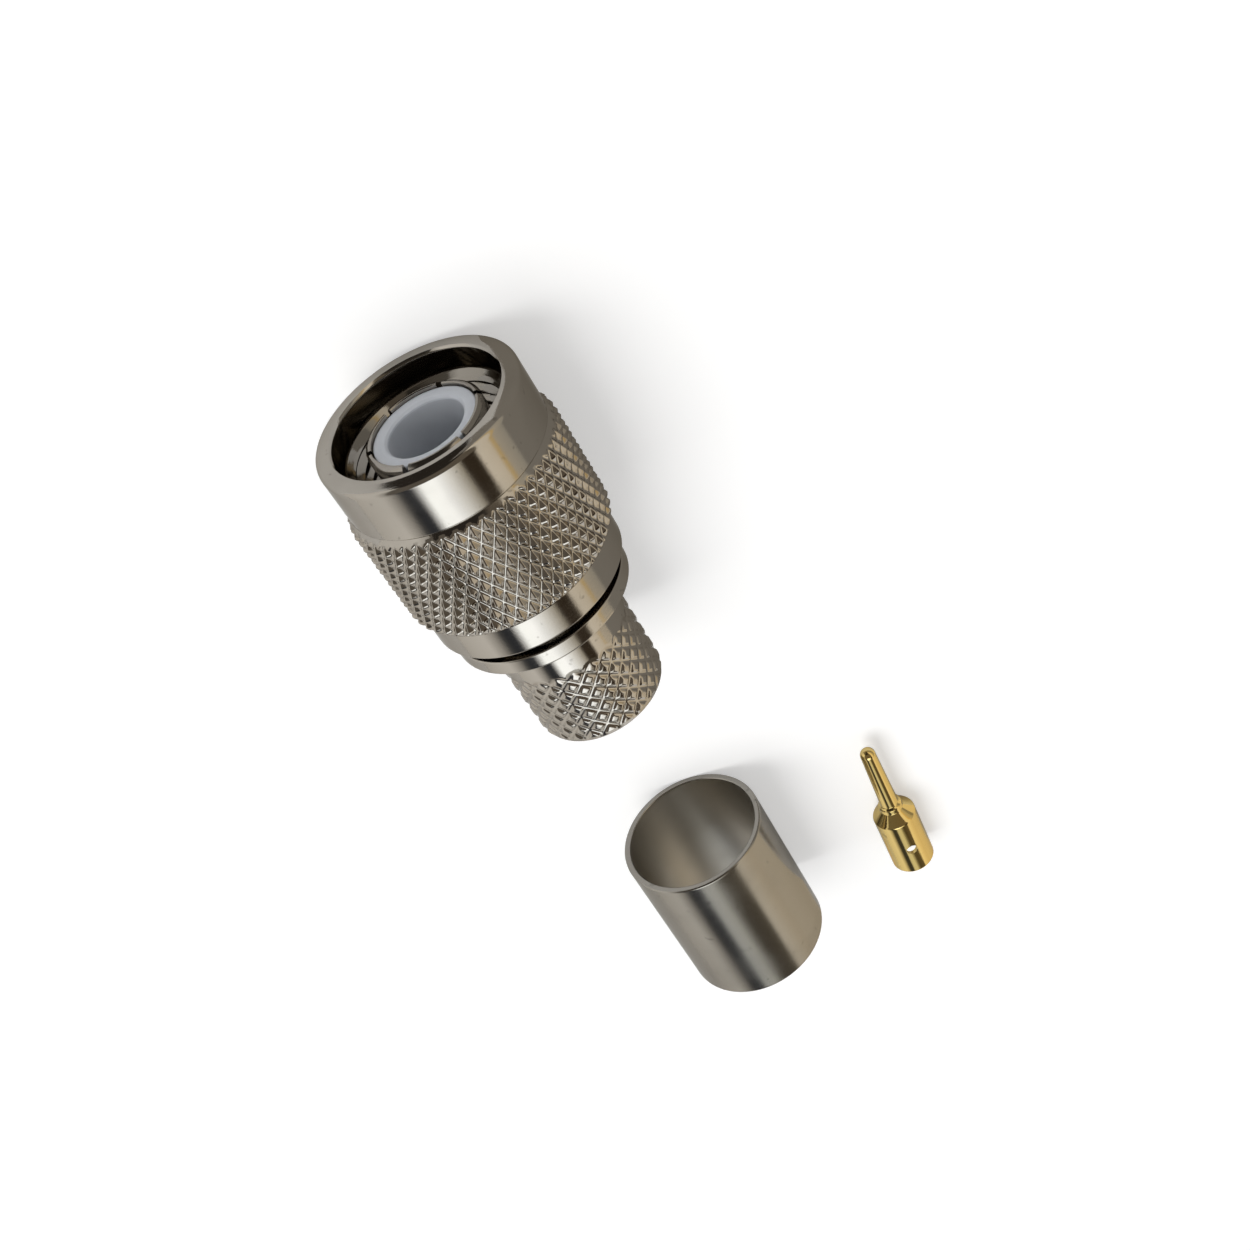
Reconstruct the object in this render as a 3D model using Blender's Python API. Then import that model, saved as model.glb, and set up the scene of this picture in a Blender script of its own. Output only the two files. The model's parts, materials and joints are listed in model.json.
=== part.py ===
"""A crimp TNC plug lying on a table, with its ferrule and its centre contact laid beside it.

The plug's own axis is horizontal and runs along Y. The mating end points to -Y.
Each piece is turned about a local Z axis: on the plug, z = 0 is the cable end of the stem.
"""

import math

import bmesh
import bpy
from mathutils import Matrix, Vector

MM = 0.001

# Clearances
RUNNING_CLEARANCE = 0.15 * MM
SEAT_CLEARANCE = 0.05 * MM

# Knurled crimp stem
STEM_RADIUS = 4.8 * MM
STEM_LENGTH = 9.45 * MM
STEM_EDGE_RADIUS = 0.5 * MM
STEM_KNURL_LENGTH = 6.2 * MM
STEM_KNURL_DEPTH = 0.24 * MM
STEM_KNURL_STARTS = 23
STEM_KNURL_ROWS = 9
CABLE_BORE_RADIUS = 3.7 * MM
BORE_CHAMFER = 0.25 * MM

# Body flange and neck
FLANGE_RADIUS = 6.5 * MM
FLANGE_THICKNESS = 1.2 * MM
FLANGE_CHAMFER = 0.12 * MM
NECK_RADIUS = 4.95 * MM
NECK_LENGTH = 6.35 * MM
NECK_STOP_RADIUS = 3.0 * MM
NECK_STOP_THICKNESS = 0.8 * MM
CONTACT_SEAT_DEPTH = 3.0 * MM
INSULATOR_TAIL = 1.0 * MM

# Coupling nut
FLANGE_TO_NUT = 0.9 * MM
NUT_REAR_RADIUS = 7.0 * MM
NUT_REAR_BAND = 2.35 * MM
NUT_KNURL_RADIUS = 7.6 * MM
NUT_KNURL_LENGTH = 8.65 * MM
NUT_KNURL_DEPTH = 0.36 * MM
NUT_KNURL_STARTS = 50
NUT_KNURL_ROWS = 11
NUT_KNURL_REAR_CHAMFER = 0.2 * MM
NUT_KNURL_FRONT_CHAMFER = 0.35 * MM
NUT_FRONT_RADIUS = 7.15 * MM
NUT_FRONT_BAND = 4.1 * MM
NUT_RIM_ROUNDING = 0.15 * MM
NUT_RIM_SLOPE = 0.06 * MM
NUT_RIM_FLAT = 0.5 * MM
NUT_REAR_CHAMFER = 0.2 * MM
MOUTH_RADIUS = 5.9 * MM
MOUTH_CHAMFER = 0.1 * MM
MOUTH_DEPTH = 1.8 * MM
MOUTH_LEDGE_DROP = 0.3 * MM
THREAD_MINOR_RADIUS = 5.1 * MM

# Retaining ring of the nut
NUT_LIP_THICKNESS = 1.1 * MM
RING_THICKNESS = 0.7 * MM
RING_RADIUS = 5.45 * MM
RING_FLOOR_RADIUS = 4.35 * MM
RING_OPENING = math.radians(24)

# Slotted outer contact
CONTACT_RADIUS = 4.1 * MM
CONTACT_WALL = 0.6 * MM
CONTACT_SETBACK = 1.05 * MM
CONTACT_TIP_CHAMFER = 0.2 * MM
SLOT_COUNT = 6
SLOT_WIDTH = 0.42 * MM
SLOT_LENGTH = 6.8 * MM
SLOT_PHASE = math.radians(16)

# Insulator
CAVITY_RADIUS = 2.55 * MM
CAVITY_DEPTH = 6.2 * MM
INSULATOR_SETBACK = 0.25 * MM
INSULATOR_CHAMFER = 0.1 * MM

# Gasket
GASKET_THICKNESS = 1.1 * MM
GASKET_ROUNDING = 0.25 * MM

# Crimp ferrule
FERRULE_RADIUS = 5.65 * MM
FERRULE_WALL = 0.49 * MM
FERRULE_LENGTH = 13.85 * MM
FERRULE_CHAMFER = 0.12 * MM

# Contact pin
PIN_TIP_RADIUS = 0.61 * MM
PIN_ROOT_RADIUS = 0.74 * MM
PIN_TIP_ROUNDING = 0.6 * MM
PIN_SHANK_LENGTH = 6.45 * MM
PIN_COLLAR_RADIUS = 0.95 * MM
PIN_COLLAR_LENGTH = 0.6 * MM
PIN_SHOULDER_LENGTH = 0.75 * MM
BARREL_RADIUS = 1.73 * MM
BARREL_LENGTH = 5.65 * MM
BARREL_CHAMFER = 0.15 * MM
BARREL_WALL = 0.33 * MM
BARREL_BORE_DEPTH = 4.6 * MM
SOLDER_HOLE_RADIUS = 0.45 * MM
SOLDER_HOLE_FROM_END = 2.6 * MM
SOLDER_HOLE_LEAN = math.radians(16)

# Places on the table, from the plug's cable end
FERRULE_ASIDE = 1.4 * MM
FERRULE_BEHIND = 18.7 * MM
FERRULE_HEADING = math.radians(0.9)
PIN_ASIDE = -12.2 * MM
PIN_BEHIND = 33.4 * MM
PIN_HEADING = math.radians(3.4)

# Facets round each turned form and each rounded edge
FINE_COLUMNS = 72
SMALL_COLUMNS = 48
PIN_COLUMNS = 32
HOLE_COLUMNS = 16
EDGE_STEPS = 3
RIM_STEPS = 2
TIP_STEPS = 4

# How far a cutter reaches past what it cuts, as a multiple of it
CUTTER_REACH = 3

# Heights along the plug's axis
KNURL_START = STEM_EDGE_RADIUS
FLANGE_FRONT = STEM_LENGTH + FLANGE_THICKNESS
NECK_FRONT = FLANGE_FRONT + NECK_LENGTH
NUT_REAR = FLANGE_FRONT + FLANGE_TO_NUT
NUT_KNURL_START = NUT_REAR + NUT_REAR_BAND
NUT_KNURL_END = NUT_KNURL_START + NUT_KNURL_LENGTH
NUT_FRONT = NUT_KNURL_END + NUT_KNURL_FRONT_CHAMFER + NUT_FRONT_BAND
LEDGE_HEIGHT = NUT_FRONT - MOUTH_DEPTH
RING_REAR = NUT_REAR + NUT_LIP_THICKNESS
RING_FRONT = RING_REAR + RING_THICKNESS
CONTACT_TIP = NUT_FRONT - CONTACT_SETBACK
CONTACT_SEAT = NECK_FRONT - CONTACT_SEAT_DEPTH
NECK_STOP_FRONT = CONTACT_SEAT - INSULATOR_TAIL
NECK_STOP_REAR = NECK_STOP_FRONT - NECK_STOP_THICKNESS
CONTACT_BORE_RADIUS = CONTACT_RADIUS - CONTACT_WALL


def clear_scene():
    for obj in list(bpy.data.objects):
        bpy.data.objects.remove(obj, do_unlink=True)


def make_material(name, colour, metallic, roughness):
    material = bpy.data.materials.new(name)
    material.use_nodes = True
    shader = material.node_tree.nodes["Principled BSDF"]
    shader.inputs["Base Color"].default_value = (*colour, 1.0)
    shader.inputs["Metallic"].default_value = metallic
    shader.inputs["Roughness"].default_value = roughness
    material.diffuse_color = (*colour, 1.0)
    return material


def make_empty(name, location, rotation=(0.0, 0.0, 0.0), parent=None):
    empty = bpy.data.objects.new(name, None)
    empty.empty_display_size = FLANGE_RADIUS
    empty.location = location
    empty.rotation_euler = rotation
    empty.parent = parent
    bpy.context.scene.collection.objects.link(empty)
    return empty


def make_object(name, bm, parent, material, sharp_angle=math.radians(30)):
    bmesh.ops.recalc_face_normals(bm, faces=bm.faces)
    mesh = bpy.data.meshes.new(name)
    bm.to_mesh(mesh)
    bm.free()
    mesh.materials.append(material)
    mesh.shade_smooth()
    mesh.set_sharp_from_angle(angle=sharp_angle)
    obj = bpy.data.objects.new(name, mesh)
    obj.parent = parent
    bpy.context.scene.collection.objects.link(obj)
    return obj


def add_ring(bm, radius, height, columns, sweep=math.tau):
    """One ring of vertices about Z, or an open arc where the sweep is under a full turn."""
    whole = sweep >= math.tau
    count = columns if whole else columns + 1
    ring = []
    for column in range(count):
        angle = sweep * column / columns
        ring.append(bm.verts.new((radius * math.cos(angle), radius * math.sin(angle), height)))
    return ring


def bridge(bm, lower, upper, closed=True):
    """Quads between two rings of the same count."""
    count = len(lower)
    for column in range(count if closed else count - 1):
        following = (column + 1) % count
        bm.faces.new((lower[column], lower[following], upper[following], upper[column]))


def turn_closed(bm, profile, columns, sweep=math.tau):
    """A hollow turned form: its profile is a loop of (radius, height) clear of the axis."""
    rings = [add_ring(bm, radius, height, columns, sweep) for radius, height in profile]
    closed = sweep >= math.tau
    for lower, upper in zip(rings, rings[1:] + rings[:1]):
        bridge(bm, lower, upper, closed)
    if not closed:
        bm.faces.new([ring[0] for ring in rings])
        bm.faces.new([ring[-1] for ring in rings])


def turn_capped(bm, profile, columns):
    """A turned form whose profile starts and ends on the axis, at its first and last height."""
    rings = [add_ring(bm, radius, height, columns) for radius, height in profile[1:-1]]
    for lower, upper in zip(rings, rings[1:]):
        bridge(bm, lower, upper)
    for ring, (_, height) in ((rings[0], profile[0]), (rings[-1], profile[-1])):
        centre = bm.verts.new((0.0, 0.0, height))
        for column, vertex in enumerate(ring):
            bm.faces.new((vertex, ring[(column + 1) % columns], centre))


def add_knurl(bm, starts, rows, peak, depth, bottom, length):
    """Rows of a diamond knurl: peaks and groove crossings alternate along and round it."""
    columns = 2 * starts
    grid = []
    for row in range(rows + 1):
        height = bottom + length * row / rows
        ring = []
        for column in range(columns):
            angle = math.tau * column / columns
            radius = peak if (row + column) % 2 else peak - depth
            ring.append(bm.verts.new((radius * math.cos(angle), radius * math.sin(angle), height)))
        grid.append(ring)
    for row, (lower, upper) in enumerate(zip(grid, grid[1:])):
        for column in range(columns):
            following = (column + 1) % columns
            corners = (lower[column], lower[following], upper[following], upper[column])
            shift = (row + column) % 2
            groove_start, peak_low, groove_end, peak_high = corners[shift:] + corners[:shift]
            bm.faces.new((groove_start, peak_low, groove_end))
            bm.faces.new((groove_end, peak_high, groove_start))
    return grid[0], grid[-1]


def turn_knurled(bm, before, knurl_ends, after):
    """A closed turned form whose knurl lies between the points before it and after it."""
    knurl_bottom, knurl_top = knurl_ends
    columns = len(knurl_bottom)
    rings = [add_ring(bm, radius, height, columns) for radius, height in after + before]
    for lower, upper in zip(rings, rings[1:]):
        bridge(bm, lower, upper)
    bridge(bm, knurl_top, rings[0])
    bridge(bm, rings[-1], knurl_bottom)


def quarter_round(radius, height, size, outward, upward, steps):
    """Profile points of a rounded edge, from the turned side to the end face."""
    centre_radius = radius - outward * size
    centre_height = height - upward * size
    points = []
    for step in range(steps + 1):
        angle = math.pi / 2 * step / steps
        points.append(
            (
                centre_radius + outward * size * math.cos(angle),
                centre_height + upward * size * math.sin(angle),
            )
        )
    return points


def make_cutter(name, bm, parent):
    bmesh.ops.recalc_face_normals(bm, faces=bm.faces)
    mesh = bpy.data.meshes.new(name)
    bm.to_mesh(mesh)
    bm.free()
    cutter = bpy.data.objects.new(name, mesh)
    cutter.parent = parent
    cutter.hide_render = True
    cutter.display_type = "WIRE"
    bpy.context.scene.collection.objects.link(cutter)
    return cutter


def cut_with(obj, cutter):
    modifier = obj.modifiers.new("Cut", "BOOLEAN")
    modifier.operation = "DIFFERENCE"
    modifier.solver = "EXACT"
    modifier.object = cutter


def make_body(parent, material):
    """Knurled stem, flange and neck: one turned piece, bored through from the cable end."""
    bm = bmesh.new()
    knurl = add_knurl(
        bm,
        STEM_KNURL_STARTS,
        STEM_KNURL_ROWS,
        STEM_RADIUS,
        STEM_KNURL_DEPTH,
        KNURL_START,
        STEM_KNURL_LENGTH,
    )
    knurl_end = KNURL_START + STEM_KNURL_LENGTH
    seat_radius = CONTACT_RADIUS + SEAT_CLEARANCE
    after = [
        (STEM_RADIUS, knurl_end + STEM_KNURL_DEPTH),
        (STEM_RADIUS, STEM_LENGTH),
        (FLANGE_RADIUS - FLANGE_CHAMFER, STEM_LENGTH),
        (FLANGE_RADIUS, STEM_LENGTH + FLANGE_CHAMFER),
        (FLANGE_RADIUS, FLANGE_FRONT - FLANGE_CHAMFER),
        (FLANGE_RADIUS - FLANGE_CHAMFER, FLANGE_FRONT),
        (NECK_RADIUS, FLANGE_FRONT),
        (NECK_RADIUS, RING_REAR - SEAT_CLEARANCE),
        (RING_FLOOR_RADIUS, RING_REAR - SEAT_CLEARANCE),
        (RING_FLOOR_RADIUS, RING_FRONT + SEAT_CLEARANCE),
        (NECK_RADIUS, RING_FRONT + SEAT_CLEARANCE),
        (NECK_RADIUS, NECK_FRONT - BORE_CHAMFER),
        (NECK_RADIUS - BORE_CHAMFER, NECK_FRONT),
        (seat_radius, NECK_FRONT),
        (seat_radius, CONTACT_SEAT),
        (CONTACT_BORE_RADIUS, CONTACT_SEAT),
        (CONTACT_BORE_RADIUS, NECK_STOP_FRONT),
        (NECK_STOP_RADIUS, NECK_STOP_FRONT),
        (NECK_STOP_RADIUS, NECK_STOP_REAR),
        (CABLE_BORE_RADIUS, NECK_STOP_REAR),
    ]
    edge_radius = STEM_RADIUS - STEM_KNURL_DEPTH
    edge_size = STEM_EDGE_RADIUS - STEM_KNURL_DEPTH
    edge = quarter_round(edge_radius, 0.0, edge_size, 1, -1, EDGE_STEPS)
    before = [
        (CABLE_BORE_RADIUS, BORE_CHAMFER),
        (CABLE_BORE_RADIUS + BORE_CHAMFER, 0.0),
    ] + edge[::-1]
    turn_knurled(bm, before, knurl, after)
    return make_object("connector_body", bm, parent, material)


def make_nut(parent, material):
    """Coupling nut: knurled outside, with a lip and ring groove behind and a ledged mouth."""
    bm = bmesh.new()
    knurl = add_knurl(
        bm,
        NUT_KNURL_STARTS,
        NUT_KNURL_ROWS,
        NUT_KNURL_RADIUS,
        NUT_KNURL_DEPTH,
        NUT_KNURL_START,
        NUT_KNURL_LENGTH,
    )
    groove_radius = RING_RADIUS + RUNNING_CLEARANCE
    rim_edge = NUT_FRONT - NUT_RIM_SLOPE
    flat_inside = MOUTH_RADIUS + MOUTH_CHAMFER
    after = [(NUT_FRONT_RADIUS, NUT_KNURL_END + NUT_KNURL_FRONT_CHAMFER)]
    after += quarter_round(NUT_FRONT_RADIUS, rim_edge, NUT_RIM_ROUNDING, 1, 1, RIM_STEPS)
    after += [
        (flat_inside + NUT_RIM_FLAT, NUT_FRONT),
        (flat_inside, NUT_FRONT),
        (MOUTH_RADIUS, NUT_FRONT - MOUTH_CHAMFER),
        (MOUTH_RADIUS, LEDGE_HEIGHT),
        (THREAD_MINOR_RADIUS, LEDGE_HEIGHT - MOUTH_LEDGE_DROP),
        (THREAD_MINOR_RADIUS, RING_FRONT + SEAT_CLEARANCE),
        (groove_radius, RING_FRONT + SEAT_CLEARANCE),
        (groove_radius, RING_REAR - SEAT_CLEARANCE),
        (NECK_RADIUS + RUNNING_CLEARANCE, RING_REAR - SEAT_CLEARANCE),
        (NECK_RADIUS + RUNNING_CLEARANCE, NUT_REAR),
    ]
    before = [
        (NUT_REAR_RADIUS - NUT_REAR_CHAMFER, NUT_REAR),
        (NUT_REAR_RADIUS, NUT_REAR + NUT_REAR_CHAMFER),
        (NUT_REAR_RADIUS, NUT_KNURL_START - NUT_KNURL_REAR_CHAMFER),
    ]
    turn_knurled(bm, before, knurl, after)
    return make_object("coupling_nut", bm, parent, material)


def make_retaining_ring(parent, material):
    """Split ring that holds the nut on the neck and lets it turn."""
    bm = bmesh.new()
    inner = RING_FLOOR_RADIUS + SEAT_CLEARANCE
    profile = [
        (inner, RING_REAR),
        (RING_RADIUS, RING_REAR),
        (RING_RADIUS, RING_FRONT),
        (inner, RING_FRONT),
    ]
    turn_closed(bm, profile, SMALL_COLUMNS, math.tau - RING_OPENING)
    return make_object("retaining_ring", bm, parent, material)


def make_gasket(parent, material):
    """Sealing gasket round the outer contact, against the front of the neck."""
    bm = bmesh.new()
    inner = CONTACT_RADIUS + SEAT_CLEARANCE
    outer = NECK_RADIUS
    bottom = NECK_FRONT + SEAT_CLEARANCE
    top = bottom + GASKET_THICKNESS
    profile = [
        (inner, bottom),
        (outer - GASKET_ROUNDING, bottom),
        (outer, bottom + GASKET_ROUNDING),
        (outer, top - GASKET_ROUNDING),
        (outer - GASKET_ROUNDING, top),
        (inner, top),
    ]
    turn_closed(bm, profile, SMALL_COLUMNS)
    return make_object("gasket", bm, parent, material)


def make_slot_cutter(parent):
    """One box for each slot, standing radially at the contact's open end."""
    bm = bmesh.new()
    middle_radius = CONTACT_RADIUS - CONTACT_WALL / 2
    scale = Matrix.Diagonal((CUTTER_REACH * CONTACT_WALL, SLOT_WIDTH, 2 * SLOT_LENGTH, 1.0))
    outward = Matrix.Translation((middle_radius, 0.0, CONTACT_TIP))
    for slot in range(SLOT_COUNT):
        place = Matrix.Rotation(SLOT_PHASE + math.tau * slot / SLOT_COUNT, 4, "Z") @ outward
        bmesh.ops.create_cube(bm, size=1.0, matrix=place @ scale)
    return make_cutter("slot_cutter", bm, parent)


def make_outer_contact(parent, material):
    """Thin sleeve seated in the neck, slotted into spring fingers at its open end."""
    bm = bmesh.new()
    profile = [
        (CONTACT_BORE_RADIUS, CONTACT_SEAT + SEAT_CLEARANCE),
        (CONTACT_RADIUS, CONTACT_SEAT + SEAT_CLEARANCE),
        (CONTACT_RADIUS, CONTACT_TIP - CONTACT_TIP_CHAMFER),
        (CONTACT_RADIUS - CONTACT_TIP_CHAMFER, CONTACT_TIP),
        (CONTACT_BORE_RADIUS, CONTACT_TIP),
    ]
    turn_closed(bm, profile, FINE_COLUMNS)
    contact = make_object("outer_contact", bm, parent, material)
    cut_with(contact, make_slot_cutter(parent))
    return contact


def make_insulator(parent, material):
    """White insulator: an open cavity in front, and the pin's hole behind it."""
    bm = bmesh.new()
    radius = CONTACT_BORE_RADIUS - SEAT_CLEARANCE
    bottom = NECK_STOP_FRONT + SEAT_CLEARANCE
    top = CONTACT_TIP - INSULATOR_SETBACK
    pin_hole = BARREL_RADIUS + SEAT_CLEARANCE
    profile = [
        (pin_hole, bottom),
        (radius - INSULATOR_CHAMFER, bottom),
        (radius, bottom + INSULATOR_CHAMFER),
        (radius, top - INSULATOR_CHAMFER),
        (radius - INSULATOR_CHAMFER, top),
        (CAVITY_RADIUS + INSULATOR_CHAMFER, top),
        (CAVITY_RADIUS, top - INSULATOR_CHAMFER),
        (CAVITY_RADIUS, top - CAVITY_DEPTH),
        (pin_hole, top - CAVITY_DEPTH),
    ]
    turn_closed(bm, profile, SMALL_COLUMNS)
    return make_object("insulator", bm, parent, material)


def make_ferrule(parent, material):
    """Plain tube that is crimped over the cable's braid on the stem."""
    bm = bmesh.new()
    inner = FERRULE_RADIUS - FERRULE_WALL
    profile = [
        (inner, FERRULE_CHAMFER),
        (inner + FERRULE_CHAMFER, 0.0),
        (FERRULE_RADIUS - FERRULE_CHAMFER, 0.0),
        (FERRULE_RADIUS, FERRULE_CHAMFER),
        (FERRULE_RADIUS, FERRULE_LENGTH - FERRULE_CHAMFER),
        (FERRULE_RADIUS - FERRULE_CHAMFER, FERRULE_LENGTH),
        (inner + FERRULE_CHAMFER, FERRULE_LENGTH),
        (inner, FERRULE_LENGTH - FERRULE_CHAMFER),
    ]
    turn_closed(bm, profile, FINE_COLUMNS)
    return make_object("crimp_ferrule", bm, parent, material)


def pin_profile():
    """Profile of the pin from the floor of its wire bore, round its open end, to its tip."""
    bore = BARREL_RADIUS - BARREL_WALL
    shoulder_bottom = BARREL_LENGTH
    shoulder_top = shoulder_bottom + PIN_SHOULDER_LENGTH
    collar_top = shoulder_top + PIN_COLLAR_LENGTH
    tip = collar_top + PIN_SHANK_LENGTH
    rounding = quarter_round(PIN_TIP_RADIUS, tip, PIN_TIP_ROUNDING, 1, 1, TIP_STEPS)
    return (
        [
            (0.0, BARREL_BORE_DEPTH),
            (bore, BARREL_BORE_DEPTH),
            (bore, BARREL_CHAMFER),
            (bore + BARREL_CHAMFER / 2, 0.0),
            (BARREL_RADIUS - BARREL_CHAMFER / 2, 0.0),
            (BARREL_RADIUS, BARREL_CHAMFER),
            (BARREL_RADIUS, shoulder_bottom - BARREL_CHAMFER),
            (BARREL_RADIUS - BARREL_CHAMFER, shoulder_bottom),
            (PIN_COLLAR_RADIUS, shoulder_top),
            (PIN_ROOT_RADIUS, collar_top),
        ]
        + rounding
        + [(0.0, tip)]
    )


def make_pin(parent, material):
    """Gold contact: a rounded shank on a bored solder barrel with an inspection hole."""
    bm = bmesh.new()
    turn_capped(bm, pin_profile(), PIN_COLUMNS)
    pin = make_object("contact_pin", bm, parent, material)
    hole = bmesh.new()
    turned = Matrix.Rotation(math.pi / 2 + SOLDER_HOLE_LEAN, 4, "Z") @ Matrix.Rotation(math.pi / 2, 4, "Y")
    place = Matrix.Translation((0.0, 0.0, SOLDER_HOLE_FROM_END)) @ turned
    outward = Matrix.Translation((0.0, 0.0, BARREL_RADIUS))
    bmesh.ops.create_cone(
        hole,
        cap_ends=True,
        segments=HOLE_COLUMNS,
        radius1=SOLDER_HOLE_RADIUS,
        radius2=SOLDER_HOLE_RADIUS,
        depth=CUTTER_REACH * BARREL_WALL,
        matrix=place @ outward,
    )
    cut_with(pin, make_cutter("solder_hole_cutter", hole, parent))
    return pin


def centre_on_floor(layout, pieces):
    """Moves the whole layout so that it stands on z = 0 with its box centred over the origin."""
    bpy.context.view_layer.update()
    corners = [piece.matrix_world @ vertex.co for piece in pieces for vertex in piece.data.vertices]
    low = Vector([min(corner[axis] for corner in corners) for axis in range(3)])
    high = Vector([max(corner[axis] for corner in corners) for axis in range(3)])
    layout.location = (-(low.x + high.x) / 2, -(low.y + high.y) / 2, -low.z)


def main():
    clear_scene()
    nickel = make_material("nickel_plate", (0.62, 0.58, 0.52), 1.0, 0.22)
    nut_nickel = make_material("nut_nickel_plate", (0.60, 0.56, 0.50), 1.0, 0.2)
    ferrule_nickel = make_material("ferrule_nickel_plate", (0.58, 0.55, 0.50), 1.0, 0.28)
    contact_nickel = make_material("contact_nickel_plate", (0.56, 0.52, 0.47), 1.0, 0.25)
    bronze = make_material("spring_bronze", (0.50, 0.34, 0.18), 1.0, 0.35)
    gold = make_material("gold_plate", (0.86, 0.62, 0.22), 1.0, 0.18)
    white = make_material("white_ptfe", (0.80, 0.82, 0.84), 0.0, 0.45)
    rubber = make_material("black_rubber", (0.03, 0.03, 0.03), 0.0, 0.6)

    layout = make_empty("layout", (0.0, 0.0, 0.0))
    lying = (math.pi / 2, 0.0, 0.0)
    plug_axis = make_empty("plug_axis", (0.0, 0.0, NUT_KNURL_RADIUS), lying, layout)
    ferrule_place = (FERRULE_ASIDE, FERRULE_BEHIND + FERRULE_LENGTH, FERRULE_RADIUS)
    ferrule_turn = (math.pi / 2, 0.0, -FERRULE_HEADING)
    ferrule_axis = make_empty("ferrule_axis", ferrule_place, ferrule_turn, layout)
    pin_turn = (math.pi / 2, 0.0, -PIN_HEADING)
    pin_axis = make_empty("pin_axis", (PIN_ASIDE, PIN_BEHIND, BARREL_RADIUS), pin_turn, layout)

    pieces = [
        make_body(plug_axis, nickel),
        make_nut(plug_axis, nut_nickel),
        make_retaining_ring(plug_axis, bronze),
        make_gasket(plug_axis, rubber),
        make_outer_contact(plug_axis, contact_nickel),
        make_insulator(plug_axis, white),
        make_ferrule(ferrule_axis, ferrule_nickel),
        make_pin(pin_axis, gold),
    ]
    centre_on_floor(layout, pieces)


main()
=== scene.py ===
"""Looks of a crimp coaxial plug, its ferrule and its contact pin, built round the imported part.

Each turned piece is made about its own local Z axis. On the plug, z = 0 is the cable end.
"""

import json
import math
import bmesh
import bpy
from bpy.props import FloatProperty, FloatVectorProperty, IntProperty, PointerProperty
from mathutils import Matrix, Vector

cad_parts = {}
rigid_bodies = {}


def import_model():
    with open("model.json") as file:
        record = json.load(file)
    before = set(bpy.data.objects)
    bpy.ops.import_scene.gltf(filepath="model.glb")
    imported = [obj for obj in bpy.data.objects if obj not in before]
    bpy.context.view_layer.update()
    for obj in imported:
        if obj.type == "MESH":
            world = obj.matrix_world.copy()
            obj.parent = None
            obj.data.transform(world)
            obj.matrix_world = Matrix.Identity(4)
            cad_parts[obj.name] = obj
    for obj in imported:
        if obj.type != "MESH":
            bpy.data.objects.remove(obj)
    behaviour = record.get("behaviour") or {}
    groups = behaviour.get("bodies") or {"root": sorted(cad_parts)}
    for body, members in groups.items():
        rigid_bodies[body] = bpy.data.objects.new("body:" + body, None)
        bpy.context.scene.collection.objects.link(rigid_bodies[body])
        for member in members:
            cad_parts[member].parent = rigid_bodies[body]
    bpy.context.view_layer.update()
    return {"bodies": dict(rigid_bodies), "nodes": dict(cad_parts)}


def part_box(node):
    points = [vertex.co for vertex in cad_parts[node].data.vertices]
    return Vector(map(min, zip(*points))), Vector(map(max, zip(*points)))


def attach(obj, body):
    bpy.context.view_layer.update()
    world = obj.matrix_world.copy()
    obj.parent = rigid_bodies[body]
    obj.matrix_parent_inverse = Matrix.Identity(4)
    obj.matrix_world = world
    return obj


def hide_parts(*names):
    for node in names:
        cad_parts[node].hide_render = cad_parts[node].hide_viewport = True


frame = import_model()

bl_info = {
    "name": "Crimp Coaxial Plug",
    "version": (1, 0, 0),
    "blender": (4, 5, 0),
    "location": "3D View > Sidebar > Plug",
    "description": "Builds the detailed pieces, finishes and studio of a crimp coaxial plug",
    "category": "Object",
}

MM = 0.001
NUT_LOW, NUT_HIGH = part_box("coupling_nut")
BODY_LOW, BODY_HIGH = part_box("connector_body")
PLUG_X = (NUT_LOW.x + NUT_HIGH.x) / 2
PLUG_Z = (NUT_LOW.z + NUT_HIGH.z) / 2
CABLE_END_Y = BODY_HIGH.y
LYING = Matrix.Rotation(math.pi / 2, 4, "X")

# Each piece: the body that it rides on, the solid that it stands for and its finish's slot
PIECES = {
    "knurled_coupling_nut": ("nut", "coupling_nut", "nut_nickel"),
    "knurled_crimp_body": ("plug", "connector_body", "body_nickel"),
    "slotted_outer_contact": ("plug", "outer_contact", "contact_nickel"),
    "white_insulator": ("plug", "insulator", "white_ptfe"),
    "round_gasket": ("plug", "gasket", "black_rubber"),
    "drawn_crimp_ferrule": ("plug", "crimp_ferrule", "ferrule_nickel"),
    "gold_contact_pin": ("plug", "contact_pin", "pin_gold"),
}

# The knurls: columns from a groove to a diamond's middle, and the groove floor's share of that way
KNURL_FINENESS = 6
GROOVE_FLOOR = 0.12

# Each metal's roughness, tool marks in a metre and scale of its grain
NUT_FINISH = (0.075, 9000.0, 6000.0)
BODY_FINISH = (0.085, 9000.0, 6000.0)
CONTACT_FINISH = (0.16, 9000.0, 6000.0)
RING_FINISH = (0.3, 6000.0, 4000.0)
FERRULE_FINISH = (0.17, 14000.0, 5000.0)
PIN_FINISH = (0.06, 12000.0, 9000.0)
METAL_EDGE_TINT = (0.62, 0.60, 0.57)


def length(name, default, description):
    return FloatProperty(
        name=name, description=description, default=default * MM, unit="LENGTH", precision=6
    )


def turn(name, default, description):
    return FloatProperty(
        name=name, description=description, default=math.radians(default), unit="ROTATION"
    )


def count(name, default, description):
    return IntProperty(name=name, description=description, default=default, min=1)


def colour(name, default, description):
    return FloatVectorProperty(
        name=name, description=description, default=default, size=3, subtype="COLOR", min=0, max=1
    )


def share(name, default, description):
    return FloatProperty(
        name=name, description=description, default=default, min=0, max=1, subtype="FACTOR"
    )


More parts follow.
